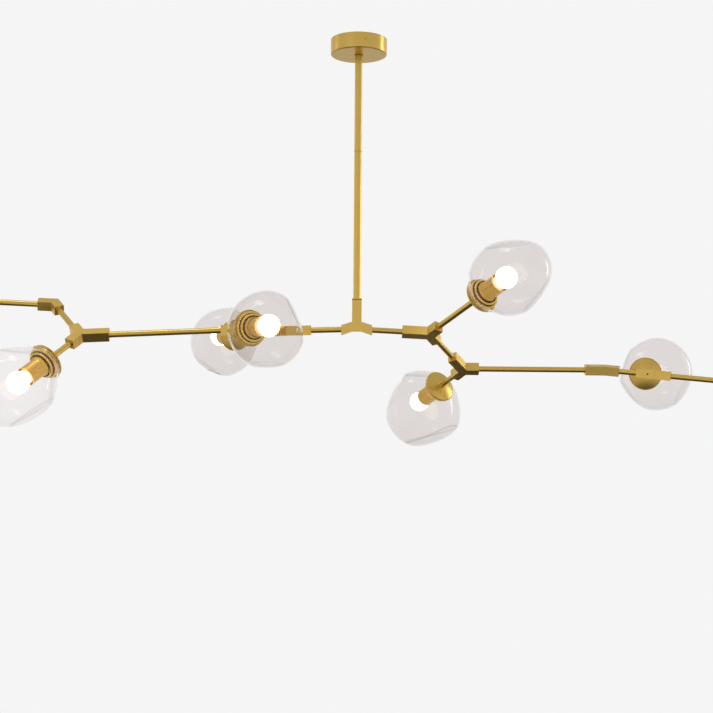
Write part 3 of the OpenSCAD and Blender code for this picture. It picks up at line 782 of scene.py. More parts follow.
def grub_screw():
    """A hex-socket grub screw, its top at the origin facing +Z"""
    mesh = bpy.data.meshes.new("grub screw pattern")
    bm = bmesh.new()
    outer, chamfer, inner, deep, length = 1.95 * MM, 1.6 * MM, 1.05 * MM, 1.6 * MM, 3 * MM
    steps = 24

    def ring(r, z):
        """A round of vertices"""
        angles = [2 * pi * s / steps for s in range(steps)]
        return [bm.verts.new((r * cos(a), r * sin(a), z)) for a in angles]

    foot, wall, top = ring(outer, -length), ring(outer, chamfer - outer), ring(chamfer, 0)
    rim = ring(inner, 0)
    hexed = []
    for v in rim:
        a = np.arctan2(v.co.y, v.co.x)
        wedge = (a + pi / 6) % (pi / 3) - pi / 6
        r = inner * cos(pi / 6) / cos(wedge)
        v.co.x, v.co.y = r * cos(a), r * sin(a)
        hexed.append(bm.verts.new((r * cos(a), r * sin(a), -deep)))
    for low, high in ((foot, wall), (wall, top), (top, rim), (rim, hexed)):
        for s in range(steps):
            n = (s + 1) % steps
            bm.faces.new((low[s], low[n], high[n], high[s]))
    bm.faces.new(foot[::-1])
    bm.faces.new(hexed)
    bmesh.ops.recalc_face_normals(bm, faces=bm.faces)
    bm.to_mesh(mesh)
    bm.free()
    return bpy.data.objects.new("grub screw pattern", mesh)


def pan_screw(shank_d, head_d, head_h, length):
    """A pan-head screw, its seat at the origin, head towards +Z"""
    crown = [
        (head_d / 2 * sin(radians(a)), head_h * (0.35 + 0.65 * cos(radians(a)))) for a in range(0, 91, 10)
    ]
    profile = crown + [(head_d / 2, 0), (shank_d / 2, 0), (shank_d / 2, -length), (0, -length)]
    verts, faces = turned(in_metres(profile), 40, closed=False)
    mesh = bpy.data.meshes.new("pan screw pattern")
    mesh.from_pydata(verts, [], outward(verts, faces))
    return bpy.data.objects.new("pan screw pattern", mesh)


# ---- Glass bubbles ----

NECK_L = 8
GLASS_RINGS, GLASS_STEPS = 96, 176


def bubble_profile(radius, wall, neck_r, neck_l):
    """Closed profile of a round bubble and its neck: up the outside, down the inside"""
    inner = radius - wall
    bore = neck_r - wall
    centre = sqrt(radius * radius - neck_r * neck_r)
    start_out = asin(neck_r / radius)
    start_in = asin(bore / inner)
    outside = [
        (radius * sin(a), centre + radius * cos(a)) for a in np.linspace(pi - start_out, 0, GLASS_RINGS)
    ]
    inside = [
        (inner * sin(a), centre + inner * cos(a)) for a in np.linspace(0, pi - start_in, GLASS_RINGS)
    ]
    # the neck's foot is fire-polished: a round lip
    lip = [(neck_r - wall / 2 + wall / 2 * cos(a), -neck_l + wall / 2 - wall / 2 * sin(a))
           for a in np.linspace(pi, 0, 9)]
    outside[-1] = (0.0, centre + radius)
    inside[0] = (0.0, centre + inner)
    flare = [(neck_r, -neck_l * 0.4), (neck_r + 0.0004, -neck_l * 0.15)]
    drop = [(bore + 0.0002, -neck_l * 0.15), (bore, -neck_l * 0.4)]
    return centre, lip + flare + outside[1:], inside[:-1] + drop


def make_bubble(name):
    """One bubble: a round skin turned about its arm, then dented, stretched and leaned by its own numbers"""
    radius, stretch, lean, dents = BUBBLES[name]
    body, block, branch, _, reach = LIGHTS[name]
    wall, neck_r = sizes().glass_wall, sizes().neck_d / 2
    centre, outside, inside = bubble_profile(radius * MM, wall, neck_r, NECK_L * MM)
    obj = new_piece("blown_glass_" + name, *turned(outside + inside, GLASS_STEPS))
    values = {
        "Centre height": centre,
        "Stretch": stretch,
        "Lean": (lean[0] * MM, lean[1] * MM, 0.0),
        "Softness": DENT_SOFTNESS,
        "Material": finish_of("clear_glass"),
    }
    for n, (polar, around, half, depth) in enumerate(dents):
        a, b = radians(polar), radians(around)
        values[f"Dent {n + 1} towards"] = (sin(a) * cos(b), sin(a) * sin(b), cos(a))
        values[f"Dent {n + 1} half-angle"] = radians(half)
        values[f"Dent {n + 1} depth"] = depth * MM
    key = f"dents {len(dents)}"
    follow(obj, bpy.data.node_groups.get(key) or dent_rule(len(dents)), values)
    obj.data.transform(light_frame(block, branch, reach))
    obj.data.shade_smooth()
    return dress(obj, body, "clear_glass", "glass_" + name)


# ---- Lights: cap, clamp, lampholder, bulb ----

# Heights along a light's axis, in millimetres, zero at the glass neck
BOSS_BACK = -20.2
CAP_BACK = -17.2
CAP_SHOULDER = -9.4
CLAMP_FRONT = 2.6
LOW_WASHER_FRONT = 3.8
COLLAR_FRONT = 9.2
HOLDER_FOOT = 10.4
HOLDER_RIM = 52
BULB_CENTRE = 74
# The porcelain core and the contact shell: how far over the lampholder's foot each starts, and its length
CORE_FLOOR, CORE_L = 4, 18.3
CONTACT_FLOOR, CONTACT_L, THREAD_PITCH = 9, 12.4, 3.6
# Radii of the rod's hole, of the hole in the rings, of the cap's dome and of the rings
ROD_BORE = 6.05
RING_BORE = 8.0
DOME_FOOT, DOME_EDGE, DOME_SPREAD, DOME_POWER = 8.6, 34.2, 26.4, 1.5
LOW_WASHER_R, COLLAR_R, WASHER_R = 29.3, 27.9, 24.1
# Where the globe takes over from its neck, in degrees from its foot
GLOBE_FROM = 44


def cap_profile():
    """Domed back cap with a rolled rim, a boss for the rod and a drum that fills the glass neck"""
    dome = [
        (r, CAP_SHOULDER + (CAP_BACK - CAP_SHOULDER) * (1 - ((r - DOME_FOOT) / DOME_SPREAD) ** DOME_POWER))
        for r in np.linspace(DOME_FOOT, DOME_EDGE, 12)
    ]
    rim = arc(35.4, -8.6, 0.6, 120, -60, 7)
    boss = [(ROD_BORE, BOSS_BACK), (7.4, BOSS_BACK), (7.9, BOSS_BACK + 0.6), (7.9, CAP_BACK - 0.2)]
    drum = [(32.3, -8.0), (32.3, -2.2), (31.9, -1.9), (30.8, -1.9), (30.8, -8.4)]
    return [*boss, *dome, *rim, *drum, (12.0, -11.2), (ROD_BORE, -11.2)]


def clamp_profile():
    """Ring that closes the glass neck from the inside"""
    back = CLAMP_FRONT - 1.2
    return [
        (ROD_BORE, back), (22.0, back), (30.6, back - 3.0), *arc(30.4, CLAMP_FRONT - 2.1, 2.1, -70, 90, 12),
        (ROD_BORE, CLAMP_FRONT),
    ]


def collar_ring_profile():
    """Turned collar on the clamp ring, with a rounded shoulder"""
    half = (COLLAR_FRONT - LOW_WASHER_FRONT) / 2
    shoulder = arc(COLLAR_R - half, LOW_WASHER_FRONT + half, half, -90, 90, 14)
    return [(RING_BORE, LOW_WASHER_FRONT), *shoulder, (RING_BORE, COLLAR_FRONT)]


def flat_ring(radius, back, front, edge=0.2):
    """A washer with its outer edges broken"""
    return [
        (RING_BORE, back), (radius - edge, back), (radius, back + edge), (radius, front - edge),
        (radius - edge, front), (RING_BORE, front),
    ]


def low_washer_profile():
    """The wide washer under the collar, dark: painted shade for the dark line between the clamp ring and the
    collar
    """
    return flat_ring(LOW_WASHER_R, CLAMP_FRONT, LOW_WASHER_FRONT)


def washer_profile():
    """The narrower washer under the lampholder, dark: painted shade for the dark line between the collar and
    the lampholder
    """
    return flat_ring(WASHER_R, COLLAR_FRONT, HOLDER_FOOT)


def holder_radius():
    """Outside radius of the lampholder tube, in millimetres"""
    return sizes().holder_d / MM / 2


def holder_profile():
    """Open lampholder tube, flared at its foot, with a thin turned-in rim"""
    r, foot, rim = holder_radius(), HOLDER_FOOT, HOLDER_RIM
    flare = [(r + 1.9 * (1 - t) ** 2, foot + 2.4 + 8 * t) for t in np.linspace(0, 1, 7)]
    edge = [(r, rim - 1.6), (r + 0.4, rim - 1.2), (r + 0.4, rim - 0.3), (r + 0.1, rim), (r - 0.9, rim)]
    inside = [(r - 1.1, rim - 0.3), (r - 1.0, foot + 3.8), (RING_BORE, foot + 3.8)]
    return [(RING_BORE, foot), *arc(r + 1.2, foot + 1.2, 1.2, -90, 40, 7), *flare, *edge, *inside]


def core_profile():
    """Porcelain cup in the lampholder tube"""
    r, foot = holder_radius() - 1.6, HOLDER_FOOT + CORE_FLOOR
    top = foot + CORE_L
    return [
        (6.0, foot), (r, foot), (r, top - 0.6), (r - 0.6, top), (14.4, top), (13.8, top - 0.6),
        (13.6, foot + 4.8), (6.0, foot + 4.8),
    ]


def contact_profile():
    """Threaded contact shell inside the porcelain, seen round the bulb's base"""
    foot = HOLDER_FOOT + CONTACT_FLOOR
    heights = np.arange(0, CONTACT_L, THREAD_PITCH / 8)
    wave = [(13.45 + 0.22 * cos(2 * pi * z / THREAD_PITCH), foot + z) for z in heights]
    return [(12.6, foot), *wave, (12.6, foot + CONTACT_L)]


def globe_point(degrees):
    """A point of the globe's outline, in degrees from its foot"""
    r, a = sizes().bulb_d / MM / 2, radians(degrees)
    return r * sin(a), BULB_CENTRE - r * cos(a)


def bulb_profile():
    """The whole globe, from its foot to its top"""
    foot, *side, top = [globe_point(a) for a in np.linspace(0, 180, 48)]
    return [(0.0, foot[1]), *side, (0.0, top[1])]


def bulb_neck_profile():
    """From the base in the holder up to where the globe takes over"""
    low = HOLDER_FOOT + CORE_FLOOR + CORE_L - 0.6
    wide, high = globe_point(GLOBE_FROM)
    rise = high - low - 1.5
    swell = [(14.0 + (wide - 14.0) * t ** 3, low + 1.5 + rise * t) for t in np.linspace(0.1, 1, 12)]
    return [(0.0, low), (13.0, low), (13.7, low + 0.6), *swell, (0.0, high)]


# piece name, profile, closed or not, finish, CAD node stem
LIGHT_PIECES = (
    ("cap", cap_profile, True, "satin_brass", "cap"),
    ("clamp_ring", clamp_profile, True, "satin_brass", None),
    # the two dark washers are painted shade: they draw the dark lines between the rings
    ("low_washer", low_washer_profile, True, "painted_shade_fibre", None),
    ("collar_ring", collar_ring_profile, True, "satin_brass", None),
    ("washer", washer_profile, True, "painted_shade_fibre", None),
    ("holder", holder_profile, True, "painted_warm_holder_brass", "holder"),
    ("holder_core", core_profile, True, "porcelain", None),
    ("contact_shell", contact_profile, True, "satin_brass", None),
    ("bulb", bulb_profile, False, "lit_bulb", "bulb"),
    ("bulb_neck", bulb_neck_profile, False, "bulb_neck", None),
)


def make_lights(kinds):
    """Turns the named light pieces at every light, and joins those of the shared body"""
    for kind, profile, closed, finish_name, node in LIGHT_PIECES:
        if kind not in kinds:
            continue
        verts, faces = turned(in_metres(profile()), sizes().round_steps, closed)
        shared = []
        for name, (body, block, branch, _, reach) in LIGHTS.items():
            place = light_frame(block, branch, reach)
            if body == SHARED_BODY:
                shared.append((verts, faces, place))
                continue
            obj = joined(f"{kind}_piece_{name}", [(verts, faces, place)])
            dress(obj, body, finish_name, *([f"{node}_{name}"] if node else []))
        obj = joined(f"{kind}_pieces_outer_right", shared)
        dress(obj, SHARED_BODY, finish_name, *([f"{node}s_outer_right"] if node else []))


# ---- Rods ----

ROD_SIDES = 64
# A rod stops this much short of the end of the seat it goes into
END_GAP = 0.2
# An arm rod ends this far inside its cap's boss
BOSS_SEAT = 6


def along(block, branch, start, end):
    """The two ends of a rod in a block's plane"""
    line = block @ turn(branch, "Z")
    return line @ Vector((start * MM, 0, 0)), line @ Vector((end * MM, 0, 0))


def link_line(block, branch, seat_floor, run, next_arm):
    """The rod from the floor of one block's seat into the seat of the next block, a run away"""
    return along(block, branch, seat_floor, run - next_arm + SEAT - END_GAP)


def arm_line(name):
    """The rod of a light's arm, from its block's seat into its cap"""
    _, block, branch, arm, reach = LIGHTS[name]
    return along(block, branch, arm - SEAT, reach + BOSS_BACK + BOSS_SEAT)


def rod_lines():
    """body: the lines of its rods, and the CAD nodes they stand for"""
    short_seat, centre_seat = SHORT_ARM - SEAT, CENTRE_ARM - CENTRE_SEAT
    centre_lines = [link_line(side, 0, centre_seat, CENTRE_RUN, LONG_ARM) for side in (RIGHT_START, LEFT_START)]
    right_link = link_line(RIGHT_INNER, Y_ANGLE, short_seat, RIGHT_LINK_RUN, LONG_ARM)
    right_long = link_line(RIGHT_SECOND, -Y_ANGLE, short_seat, RIGHT_LONG_RUN, ELBOW_ARM)
    right_last = link_line(RIGHT_ELBOW, -RIGHT_BEND, RIGHT_ELBOW_ARM - SEAT, RIGHT_ELBOW_RUN, FLUSH_ARM)
    left_link = link_line(LEFT_INNER, Y_ANGLE, short_seat, LEFT_LINK_RUN, LONG_ARM)
    left_long = link_line(LEFT_SECOND, -Y_ANGLE, short_seat, LEFT_LONG_RUN, LONG_ARM)
    left_last = link_line(LEFT_OUTER, -Y_ANGLE, short_seat, LEFT_OUTER_RUN, ELBOW_SHORT)
    return {
        "stem": (centre_lines, ["centre_tubes"]),
        "right_inner": ([right_link, arm_line("right_inner")], ["right_link_tube", "arm_tube_right_inner"]),
        "right_second": (
            [right_long, arm_line("right_second")], ["right_long_tube", "arm_tube_right_second"]
        ),
        "right_elbow": ([right_last], ["right_elbow_tube"]),
        "right_outer": ([arm_line("right_outer"), arm_line("far_right")], ["arm_tubes_outer_right"]),
        "left_inner": ([left_link, arm_line("left_inner")], ["left_link_tube", "arm_tube_left_inner"]),
        "left_second": ([left_long, arm_line("left_second")], ["left_long_tube", "arm_tube_left_second"]),
        "left_outer": ([left_last, arm_line("left_outer")], ["left_outer_link_tube", "arm_tube_left_outer"]),
        "left_end": ([arm_line("far_left")], ["arm_tube_far_left"]),
    }


def make_rods():
    """One piece a body, its rods drawn along their lines by the rule"""
    group = rod_rule()
    values = {"Diameter": sizes().rod_d, "Sides": ROD_SIDES, "Material": finish_of("satin_brass")}
    for body, (lines, nodes) in rod_lines().items():
        mesh = bpy.data.meshes.new("rods")
        points = [tuple(p) for line in lines for p in line]
        mesh.from_pydata(points, [(2 * i, 2 * i + 1) for i in range(len(lines))], [])
        obj = follow(new_object("rods_" + body, mesh), group, values)
        bm = bmesh.new()
        bm.from_mesh(obj.data)
        bmesh.ops.recalc_face_normals(bm, faces=bm.faces)
        bm.to_mesh(obj.data)
        bm.free()
        dress(smoothed(obj), body, "satin_brass", *nodes)


# ---- Cast blocks ----

BLOCKS = {
    "centre_block": "stem",
    "right_inner_block": "right_inner",
    "right_second_block": "right_second",
    "right_elbow": "right_elbow",
    "right_outer_block": "right_outer",
    "left_inner_block": "left_inner",
    "left_second_block": "left_second",
    "left_outer_block": "left_outer",
    "left_elbow": "left_end",
}
# Points nearer than MERGE, in metres, are one; faces within FLAT_ANGLE are one flat; edges sharper than
# BEVEL_ANGLE are broken, and those sharper than CREASE_ANGLE look sharp. Angles in degrees
MERGE = 1e-6
FLAT_ANGLE = 0.6
BEVEL_ANGLE = 28
CREASE_ANGLE = 15


def eased_copy(node, name, width):
    """A clean copy of a CAD node with its edges broken"""
    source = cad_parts[node]
    mesh = bpy.data.meshes.new(name)
    bm = bmesh.new()
    bm.from_mesh(source.data)
    bmesh.ops.remove_doubles(bm, verts=bm.verts, dist=MERGE)
    bmesh.ops.dissolve_limit(bm, angle_limit=radians(FLAT_ANGLE), verts=bm.verts, edges=bm.edges)
    bm.to_mesh(mesh)
    bm.free()
    obj = new_object(name, mesh)
    bevel = obj.modifiers.new("edges", "BEVEL")
    bevel.width = width
    bevel.segments = 2
    bevel.limit_method = "ANGLE"
    bevel.angle_limit = radians(BEVEL_ANGLE)
    bevel.use_clamp_overlap = True
    return smoothed(settled(obj), CREASE_ANGLE)


Y_ARMS = ((180, LONG_ARM), (Y_ANGLE, SHORT_ARM), (-Y_ANGLE, SHORT_ARM))
# body: block, the side its grub holes are on, and its arms as (angle, length)
GRUB_SITES = {
    "right_inner": (RIGHT_INNER, 1, Y_ARMS),
    "right_second": (RIGHT_SECOND, 1, Y_ARMS),
    "right_elbow": (RIGHT_ELBOW, 1, ((180, ELBOW_ARM), (-RIGHT_BEND, RIGHT_ELBOW_ARM))),
    "right_outer": (RIGHT_OUTER, 1, ((180, FLUSH_ARM), (0, OUTER_ARM), (SIDE_ANGLE, SHORT_ARM))),
    "left_inner": (LEFT_INNER, 1, Y_ARMS),
    "left_second": (LEFT_SECOND, 1, Y_ARMS),
    "left_outer": (LEFT_OUTER, -1, Y_ARMS),
    "left_end": (LEFT_ELBOW, -1, ((180, ELBOW_SHORT), (LEFT_BEND, SHORT_ARM))),
}
# How far a grub screw's top lies below the block's flat face
GRUB_SUNK = 1


def grub_places(block, side, arms):
    """(point, outward direction) of each grub screw of a block, over the middle of each seat"""
    way = (block.to_3x3() @ Vector((0, 0, side))).normalized()
    height = side * (HALF_SQUARE - GRUB_SUNK) * MM
    spots = [Vector(((length - SEAT / 2) * MM, 0, height)) for _, length in arms]
    return [(block @ turn(angle, "Z") @ spot, way) for (angle, _), spot in zip(arms, spots)]


# The painted shade band's height over the hub, and how far it stands out from the block's flat and goes in
SHADE_BAND_LOW, SHADE_BAND_HIGH = 61.0, 62.4
SHADE_BAND_PROUD, SHADE_BAND_DEEP = 0.2, 0.2


def make_painted_shade_band():
    """Narrow dark band round the top of the centre block, where the stem goes in: painted shade for the shadow
    line there
    """
    outer, inner = HALF_SQUARE + SHADE_BAND_PROUD, HALF_SQUARE - SHADE_BAND_DEEP
    rings = ((outer, SHADE_BAND_LOW), (outer, SHADE_BAND_HIGH), (inner, SHADE_BAND_HIGH), (inner, SHADE_BAND_LOW))
    corners = ((-1, -1), (1, -1), (1, 1), (-1, 1))
    verts = [(x * half * MM, y * half * MM, (HUB_Z + z) * MM) for half, z in rings for x, y in corners]
    faces = []
    for ring in range(4):
        above = (ring + 1) % 4
        for side in range(4):
            after = (side + 1) % 4
            faces.append([4 * ring + side, 4 * ring + after, 4 * above + after, 4 * above + side])
    dress(smoothed(new_piece("stem_gap_line", verts, faces)), "stem", "painted_shade_fibre")


# ---- Canopy and stem ----

CANOPY_R, CANOPY_H, CANOPY_WALL, CANOPY_EDGE = 60, 33, 1.2, 2.5
CANOPY_HOLE = 8.85
CANOPY_STEPS = 160
# Heights under the ceiling of the stem's head in the nut, the line across it, and its foot in the block
STEM_TOP, STEM_JOINT, STEM_FOOT = -17.35, -240, -575
STEM_HEAD, STEM_BORE, STEM_RING = 10.5, 7, 8.7
NUT_FLOOR, NUT_TOP, NUT_R, NUT_WALL = -24.5, -8.5, 14, 3
NIPPLE_R, NIPPLE_BORE, NIPPLE_L = 5, 3.5, 11.5
# The canopy's side screws: how far under the ceiling, and where round it, in degrees from the front
SIDE_SCREW_DOWN = 12
SIDE_SCREW_TURNS = (13.5, 193.5)
# The terminal block's screws: their row's place across, the step from one to the next, the block's height
TERMINAL_X, TERMINAL_PITCH, TERMINAL_H = 33, 9, 12


def canopy_profile():
    """Round cup: plain wall, a rounded lower edge, and the stem's hole"""
    r, floor, wall, edge = CANOPY_R, -CANOPY_H, CANOPY_WALL, CANOPY_EDGE
    outer = arc(r - edge, floor + edge, edge, -90, 0, 12)
    inner = arc(r - edge - wall, floor + edge + wall, edge, 0, -90, 8)
    rim = [(r, -0.3), (r - 0.3, 0.0), (r - wall + 0.3, 0.0), (r - wall, -0.3)]
    return [(CANOPY_HOLE, floor), (r - 6, floor), *outer, *rim, *inner, (CANOPY_HOLE, floor + wall)]


def hole_shade_profile():
    """Dark ring in the canopy's hole, round the stem: painted shadow in the hole's clearance"""
    low, high = -CANOPY_H - 0.6, -CANOPY_H + 2
    inner, outer = CANOPY_HOLE - 0.75, CANOPY_HOLE - 0.1
    return [(inner, low), (outer, low), (outer, high), (inner, high)]


def stem_profiles():
    """The stem's upper length with its flanged head, the ring at its joint, and its lower length"""
    r, bore, top, joint = sizes().stem_d / MM / 2, STEM_BORE, STEM_TOP, STEM_JOINT
    upper = [
        (bore, top), (STEM_HEAD, top), (STEM_HEAD, top - 4), (r, top - 4), (r, joint + 0.3), (r - 0.3, joint),
        (bore, joint),
    ]
    foot, wide, narrow = joint - 2, STEM_RING, STEM_RING - 0.2
    ring = [
        (bore, joint), (narrow, joint), (wide, joint - 0.2), (wide, foot + 0.2), (narrow, foot), (bore, foot),
    ]
    lower = [(bore, foot), (r - 0.3, foot), (r, foot - 0.3), (r, STEM_FOOT), (bore, STEM_FOOT)]
    return upper, ring, lower


def swivel_profile():
    """Hollow nut that holds the stem's head, open below for the stem and above for the nipple"""
    floor, top, r, wall = NUT_FLOOR, NUT_TOP, NUT_R, NUT_WALL
    stem_hole, nipple_hole = 8.05, NIPPLE_R + 0.05
    return [
        (stem_hole, floor), (r - 0.6, floor), (r, floor + 0.6), (r, top - 0.6), (r - 0.6, top),
        (nipple_hole, top), (nipple_hole, top - wall), (r - wall, top - wall), (r - wall, floor + wall),
        (stem_hole, floor + wall),
    ]


def make_canopy():
    """The cup and the dark ring of painted shadow in its hole"""
    cup = new_piece("canopy_cup", *turned(in_metres(canopy_profile()), CANOPY_STEPS))
    dress(smoothed(cup), "ceiling", "satin_brass", "canopy")
    hole_shade = new_piece("canopy_bush", *turned(in_metres(hole_shade_profile()), CANOPY_STEPS))
    dress(smoothed(hole_shade), "ceiling", "painted_shade_fibre")


def make_hidden_parts():
    """What the canopy hides: the nut and nipple, the bracket and the terminal block"""
    nut = turned(in_metres(swivel_profile()), sizes().round_steps)
    nipple = [(NIPPLE_BORE, -NIPPLE_L), (NIPPLE_R, -NIPPLE_L), (NIPPLE_R, 0), (NIPPLE_BORE, 0)]
    still = Matrix.Identity(4)
    both = joined("swivel_nut_and_nipple", [(*nut, still), (*turned(in_metres(nipple), 48), still)])
    dress(both, "ceiling", "plated_steel", "swivel_nut")
    bar = eased_copy("ceiling_bracket", "bracket_bar", 0.4 * MM)
    dress(bar, "ceiling", "plated_steel", "ceiling_bracket")
    strip = eased_copy("terminal_block", "terminal_strip", 0.6 * MM)
    dress(strip, "ceiling", "terminal_plastic", "terminal_block")


def make_canopy_screws():
    """The canopy's two side screws and the three screws of the terminal block"""
    side = pan_screw(3.9, 6.4, 1.6, 7)
    places = []
    for spin in SIDE_SCREW_TURNS:
        way = turn(spin, "Z") @ Vector((0, -1, 0))
        places.append((way * (CANOPY_R + 0.1) * MM + Vector((0, 0, -SIDE_SCREW_DOWN * MM)), way))
    heads = screws_on("canopy_side_screws", "ceiling", "satin_brass", side, places)
    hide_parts("mounting_screws")
    bpy.data.objects.remove(side)
    clamp = pan_screw(2.6, 4.0, 1.0, 3)
    top = -CANOPY_H + CANOPY_WALL + TERMINAL_H
    rows = [TERMINAL_PITCH * n for n in (-1, 0, 1)]
    places = [(Vector((TERMINAL_X * MM, y * MM, top * MM)), Vector((0, 0, 1))) for y in rows]
    screws_on("terminal_screws", "ceiling", "satin_brass", clamp, places)
    bpy.data.objects.remove(clamp)


# ---- Operators ----


class CHANDELIER_OT_glass(bpy.types.Operator):
    """Blows the eight irregular glass bubbles"""

    bl_idname = "chandelier.glass"
    bl_label = "Glass bubbles"

    def execute(self, context):
        for name in BUBBLES:
            make_bubble(name)
        return {"FINISHED"}


class CHANDELIER_OT_caps(bpy.types.Operator):
    """Makes the brass caps, clamp rings and the dark washers of painted shade between them"""

    bl_idname = "chandelier.caps"
    bl_label = "Caps and clamp rings"

    def execute(self, context):
        make_lights({"cap", "clamp_ring", "low_washer", "collar_ring", "washer"})
        return {"FINISHED"}


class CHANDELIER_OT_holders(bpy.types.Operator):
    """Makes the lampholders with their porcelain cores and contact shells"""

    bl_idname = "chandelier.holders"
    bl_label = "Lampholders"

    def execute(self, context):
        make_lights({"holder", "holder_core", "contact_shell"})
        return {"FINISHED"}


class CHANDELIER_OT_bulbs(bpy.types.Operator):
    """Makes the lit globe bulbs"""

    bl_idname = "chandelier.bulbs"
    bl_label = "Globe bulbs"

    def execute(self, context):
        make_lights({"bulb", "bulb_neck"})
        return {"FINISHED"}


class CHANDELIER_OT_rods(bpy.types.Operator):
    """Draws every branch rod along its line"""

    bl_idname = "chandelier.rods"
    bl_label = "Rods"

    def execute(self, context):
        make_rods()
        return {"FINISHED"}


class CHANDELIER_OT_blocks(bpy.types.Operator):
    """Makes the cast joint blocks with eased edges, and sets their grub screws"""

    bl_idname = "chandelier.blocks"
    bl_label = "Cast blocks"

    def execute(self, context):
        for node, body in BLOCKS.items():
            dress(eased_copy(node, "eased_" + node, sizes().edge_round), body, "cast_brass", node)
        # a dark band of painted shade round the top of the centre block, where the stem goes in
        make_painted_shade_band()
        screw = grub_screw()
        for body, site in GRUB_SITES.items():
            screws_on("grub_screws_" + body, body, "plated_steel", screw, grub_places(*site))
        bpy.data.objects.remove(screw)
        return {"FINISHED"}


class CHANDELIER_OT_stem(bpy.types.Operator):
    """Makes the two stem lengths and the ring between them"""

    bl_idname = "chandelier.stem"
    bl_label = "Stem"

    def execute(self, context):
        names = ("stem_upper_length", "stem_ring", "stem_lower_length")
        nodes = ("stem_upper", "stem_coupler", "stem_lower")
        for name, node, profile in zip(names, nodes, stem_profiles()):
            piece = new_piece(name, *turned(in_metres(profile), sizes().round_steps))
            dress(smoothed(piece), "stem", "satin_brass", node)
        return {"FINISHED"}


class CHANDELIER_OT_canopy(bpy.types.Operator):
    """Makes the canopy and what it hides: bracket, swivel nut, terminal block and screws"""

    bl_idname = "chandelier.canopy"
    bl_label = "Canopy"

    def execute(self, context):
        make_canopy()
        make_hidden_parts()
        make_canopy_screws()
        return {"FINISHED"}


class CHANDELIER_OT_stage(bpy.types.Operator):
    """Sets up the camera, the plain backdrop, the floor and the soft lights"""

    bl_idname = "chandelier.stage"
    bl_label = "Stage"

    def execute(self, context):
        scene = context.scene
        scene.view_settings.view_transform = "Standard"
        make_camera(scene)
        make_world(scene)
        make_floor()
        make_lamps(scene)
        return {"FINISHED"}


# The photograph's width and the camera's focal length, in its pixels, and how far the camera is tipped up
PHOTO_PX, FOCAL_PX, RISE_PX = 713, 1300, 83.5
CAMERA_ROLL = 0.44
CAMERA_SPOT = (0, -2.730, -0.853)

# Brightness of the room by height: 0 is straight down, 0.5 level, 1 straight up
ROOM_HEIGHTS = (
    (0.0, 0.03), (0.12, 0.05), (0.17, 0.14), (0.215, 0.40), (0.25, 0.57), (0.375, 0.64), (0.46, 0.8),
    (0.55, 0.84), (0.65, 0.66), (0.8, 0.58), (1.0, 0.62),
)
# Soft patches on the room's walls: centre of each in direction, half-widths across it, brightness
ROOM_PATCHES = (
    ((-0.33, -0.22, 0.92), (0.30, 0.06, 1.0), 3.4),
    ((0.93, 0.34, 0.14), (1.0, 0.06, 0.28), 7.0),
    ((-0.96, 0.22, 0.12), (1.0, 0.04, 0.2), 3.2),
    ((0.0, 1.0, 0.16), (0.7, 1.0, 0.36), 0.25),
    ((-0.54, -0.84, 0.10), (0.22, 1.0, 0.40), 0.12),
)
# name: place, width and height, power in watts
LAMPS = {
    "key": ((-0.8, -0.6, 1.9), (1.2, 0.6), 7),
    "fill": ((2.3, 0.6, -0.2), (0.8, 1.2), 3),
}
FLOOR_R, FLOOR_DOWN = 1.6, 2.6


def make_camera(scene):
    """The photograph's view: 2.7 m in front, just below the branches, tipped up a little"""
    data = bpy.data.cameras.new("camera")
    data.sensor_width = 36
    data.lens = FOCAL_PX * data.sensor_width / PHOTO_PX
    data.clip_end = 100
    camera = bpy.data.objects.new("camera", data)
    scene.collection.objects.link(camera)
    pitch = atan(RISE_PX / FOCAL_PX)
    place = Matrix.Translation(CAMERA_SPOT) @ Matrix.Rotation(pi / 2 + pitch, 4, "X")
    camera.matrix_world = place @ turn(CAMERA_ROLL, "Z")
    scene.camera = camera


def grey(level):
    """A plain grey as a socket takes it"""
    return level, level, level, 1


def make_world(scene):
    """Plain and pale where the camera looks; for light and reflections a soft room, dark below"""
    t = Tree("room", "worlds", "ShaderNodeOutputWorld")
    scene.world = t.owner
    flat = t.add("ShaderNodeBackground", {"Color": grey(finish().backdrop)})
    direction = t.add("ShaderNodeTexCoord").outputs["Generated"]
    parts = t.add("ShaderNodeSeparateXYZ", {0: direction})
    ramp = t.add("ShaderNodeValToRGB", {0: t.span(parts.outputs["Z"], 0, 1, -1, 1)})
    stops = ramp.color_ramp.elements
    while len(stops) < len(ROOM_HEIGHTS):
        stops.new(0.5)
    for stop, (height, value) in zip(stops, ROOM_HEIGHTS):
        stop.position = height
        stop.color = (value, value * 0.985, value * 0.96, 1)
    light = t.add("ShaderNodeBackground", {"Color": ramp.outputs[0]})
    for centre, half, strength in ROOM_PATCHES:
        away = t.vector("DIVIDE", t.vector("SUBTRACT", direction, centre), half)
        level = t.span(t.vector("LENGTH", away), strength, 0, 0.7, 1.15)
        patch = t.add("ShaderNodeBackground", {"Strength": level})
        light = t.add("ShaderNodeAddShader", {0: light.outputs[0], 1: patch.outputs[0]})
    t.close(t.mix(t.seen(), light, flat))


def make_floor():
    """A plain pale floor, a room's height below the ceiling, that brass facing down mirrors as dark"""
    rim = np.linspace(0, 2 * pi, 64, endpoint=False)
    mesh = bpy.data.meshes.new("floor")
    mesh.from_pydata([(FLOOR_R * cos(a), FLOOR_R * sin(a), -FLOOR_DOWN) for a in rim], [], [list(range(64))])
    t = Tree("pale floor")
    fleck = t.noise(t.place(), 3)
    colour = t.blend_colour(t.span(fleck, 0, 1), (0.08, 0.07, 0.06), (0.10, 0.09, 0.08))
    glow = t.add("ShaderNodeEmission", {"Color": grey(finish().backdrop)})
    matt = t.add("ShaderNodeBsdfDiffuse", {"Color": colour})
    mesh.materials.append(t.close(t.mix(t.seen(), matt, glow)))
    new_object("floor", mesh)


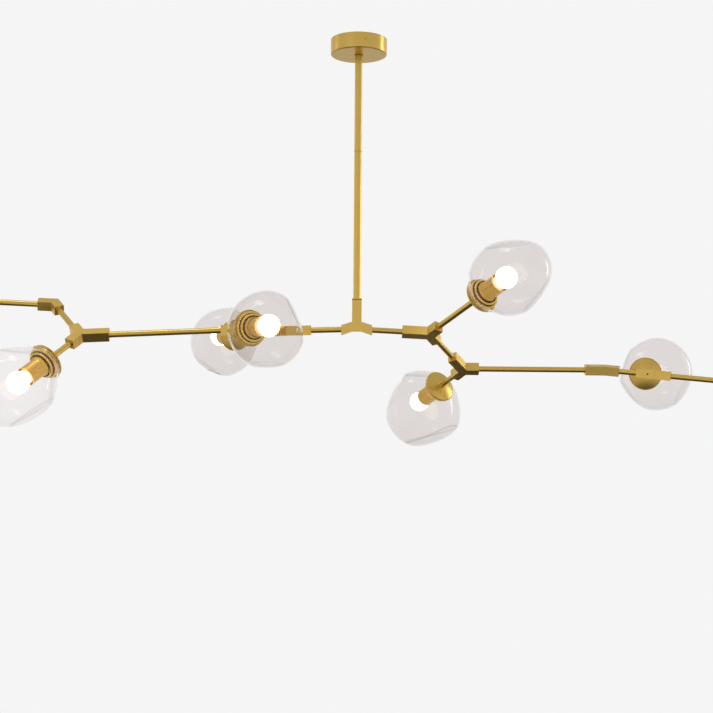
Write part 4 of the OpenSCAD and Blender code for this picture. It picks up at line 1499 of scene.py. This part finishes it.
def make_lamps(scene):
    """Soft area lamps: the key high at the left in front, the fill at the right"""
    for name, (spot, (wide, tall), power) in LAMPS.items():
        data = bpy.data.lights.new(name, "AREA")
        data.shape = "RECTANGLE"
        data.size, data.size_y = wide, tall
        data.energy = power
        lamp = bpy.data.objects.new(name, data)
        lamp.location = spot
        lamp.rotation_mode = "QUATERNION"
        lamp.rotation_quaternion = (CENTRE.translation - Vector(spot)).to_track_quat("-Z", "Y")
        scene.collection.objects.link(lamp)


class CHANDELIER_PT_panel(bpy.types.Panel):
    """Lists what the chandelier is made of"""

    bl_label = "Branch chandelier"
    bl_idname = "CHANDELIER_PT_panel"
    bl_space_type = "VIEW_3D"
    bl_region_type = "UI"
    bl_category = "Chandelier"

    def draw(self, context):
        for group in (context.scene.chandelier_sizes, context.scene.chandelier_finish):
            box = self.layout.box()
            for name in group.__annotations__:
                box.prop(group, name)
        for operator in OPERATORS:
            self.layout.operator(operator.bl_idname)


OPERATORS = (
    CHANDELIER_OT_glass,
    CHANDELIER_OT_caps,
    CHANDELIER_OT_holders,
    CHANDELIER_OT_bulbs,
    CHANDELIER_OT_rods,
    CHANDELIER_OT_blocks,
    CHANDELIER_OT_stem,
    CHANDELIER_OT_canopy,
    CHANDELIER_OT_stage,
)
CLASSES = (ChandelierSizes, ChandelierFinish, *OPERATORS, CHANDELIER_PT_panel)


def register():
    """Adds the panel, its operators and its settings"""
    for cls in CLASSES:
        bpy.utils.register_class(cls)
    bpy.types.Scene.chandelier_sizes = PointerProperty(type=ChandelierSizes)
    bpy.types.Scene.chandelier_finish = PointerProperty(type=ChandelierFinish)


def unregister():
    """Takes them out again"""
    del bpy.types.Scene.chandelier_finish
    del bpy.types.Scene.chandelier_sizes
    for cls in reversed(CLASSES):
        bpy.utils.unregister_class(cls)


def main():
    """Makes the whole chandelier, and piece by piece"""
    register()
    for operator in OPERATORS:
        group, name = operator.bl_idname.split(".")
        getattr(getattr(bpy.ops, group), name)()


if __name__ == "__main__":
    main()
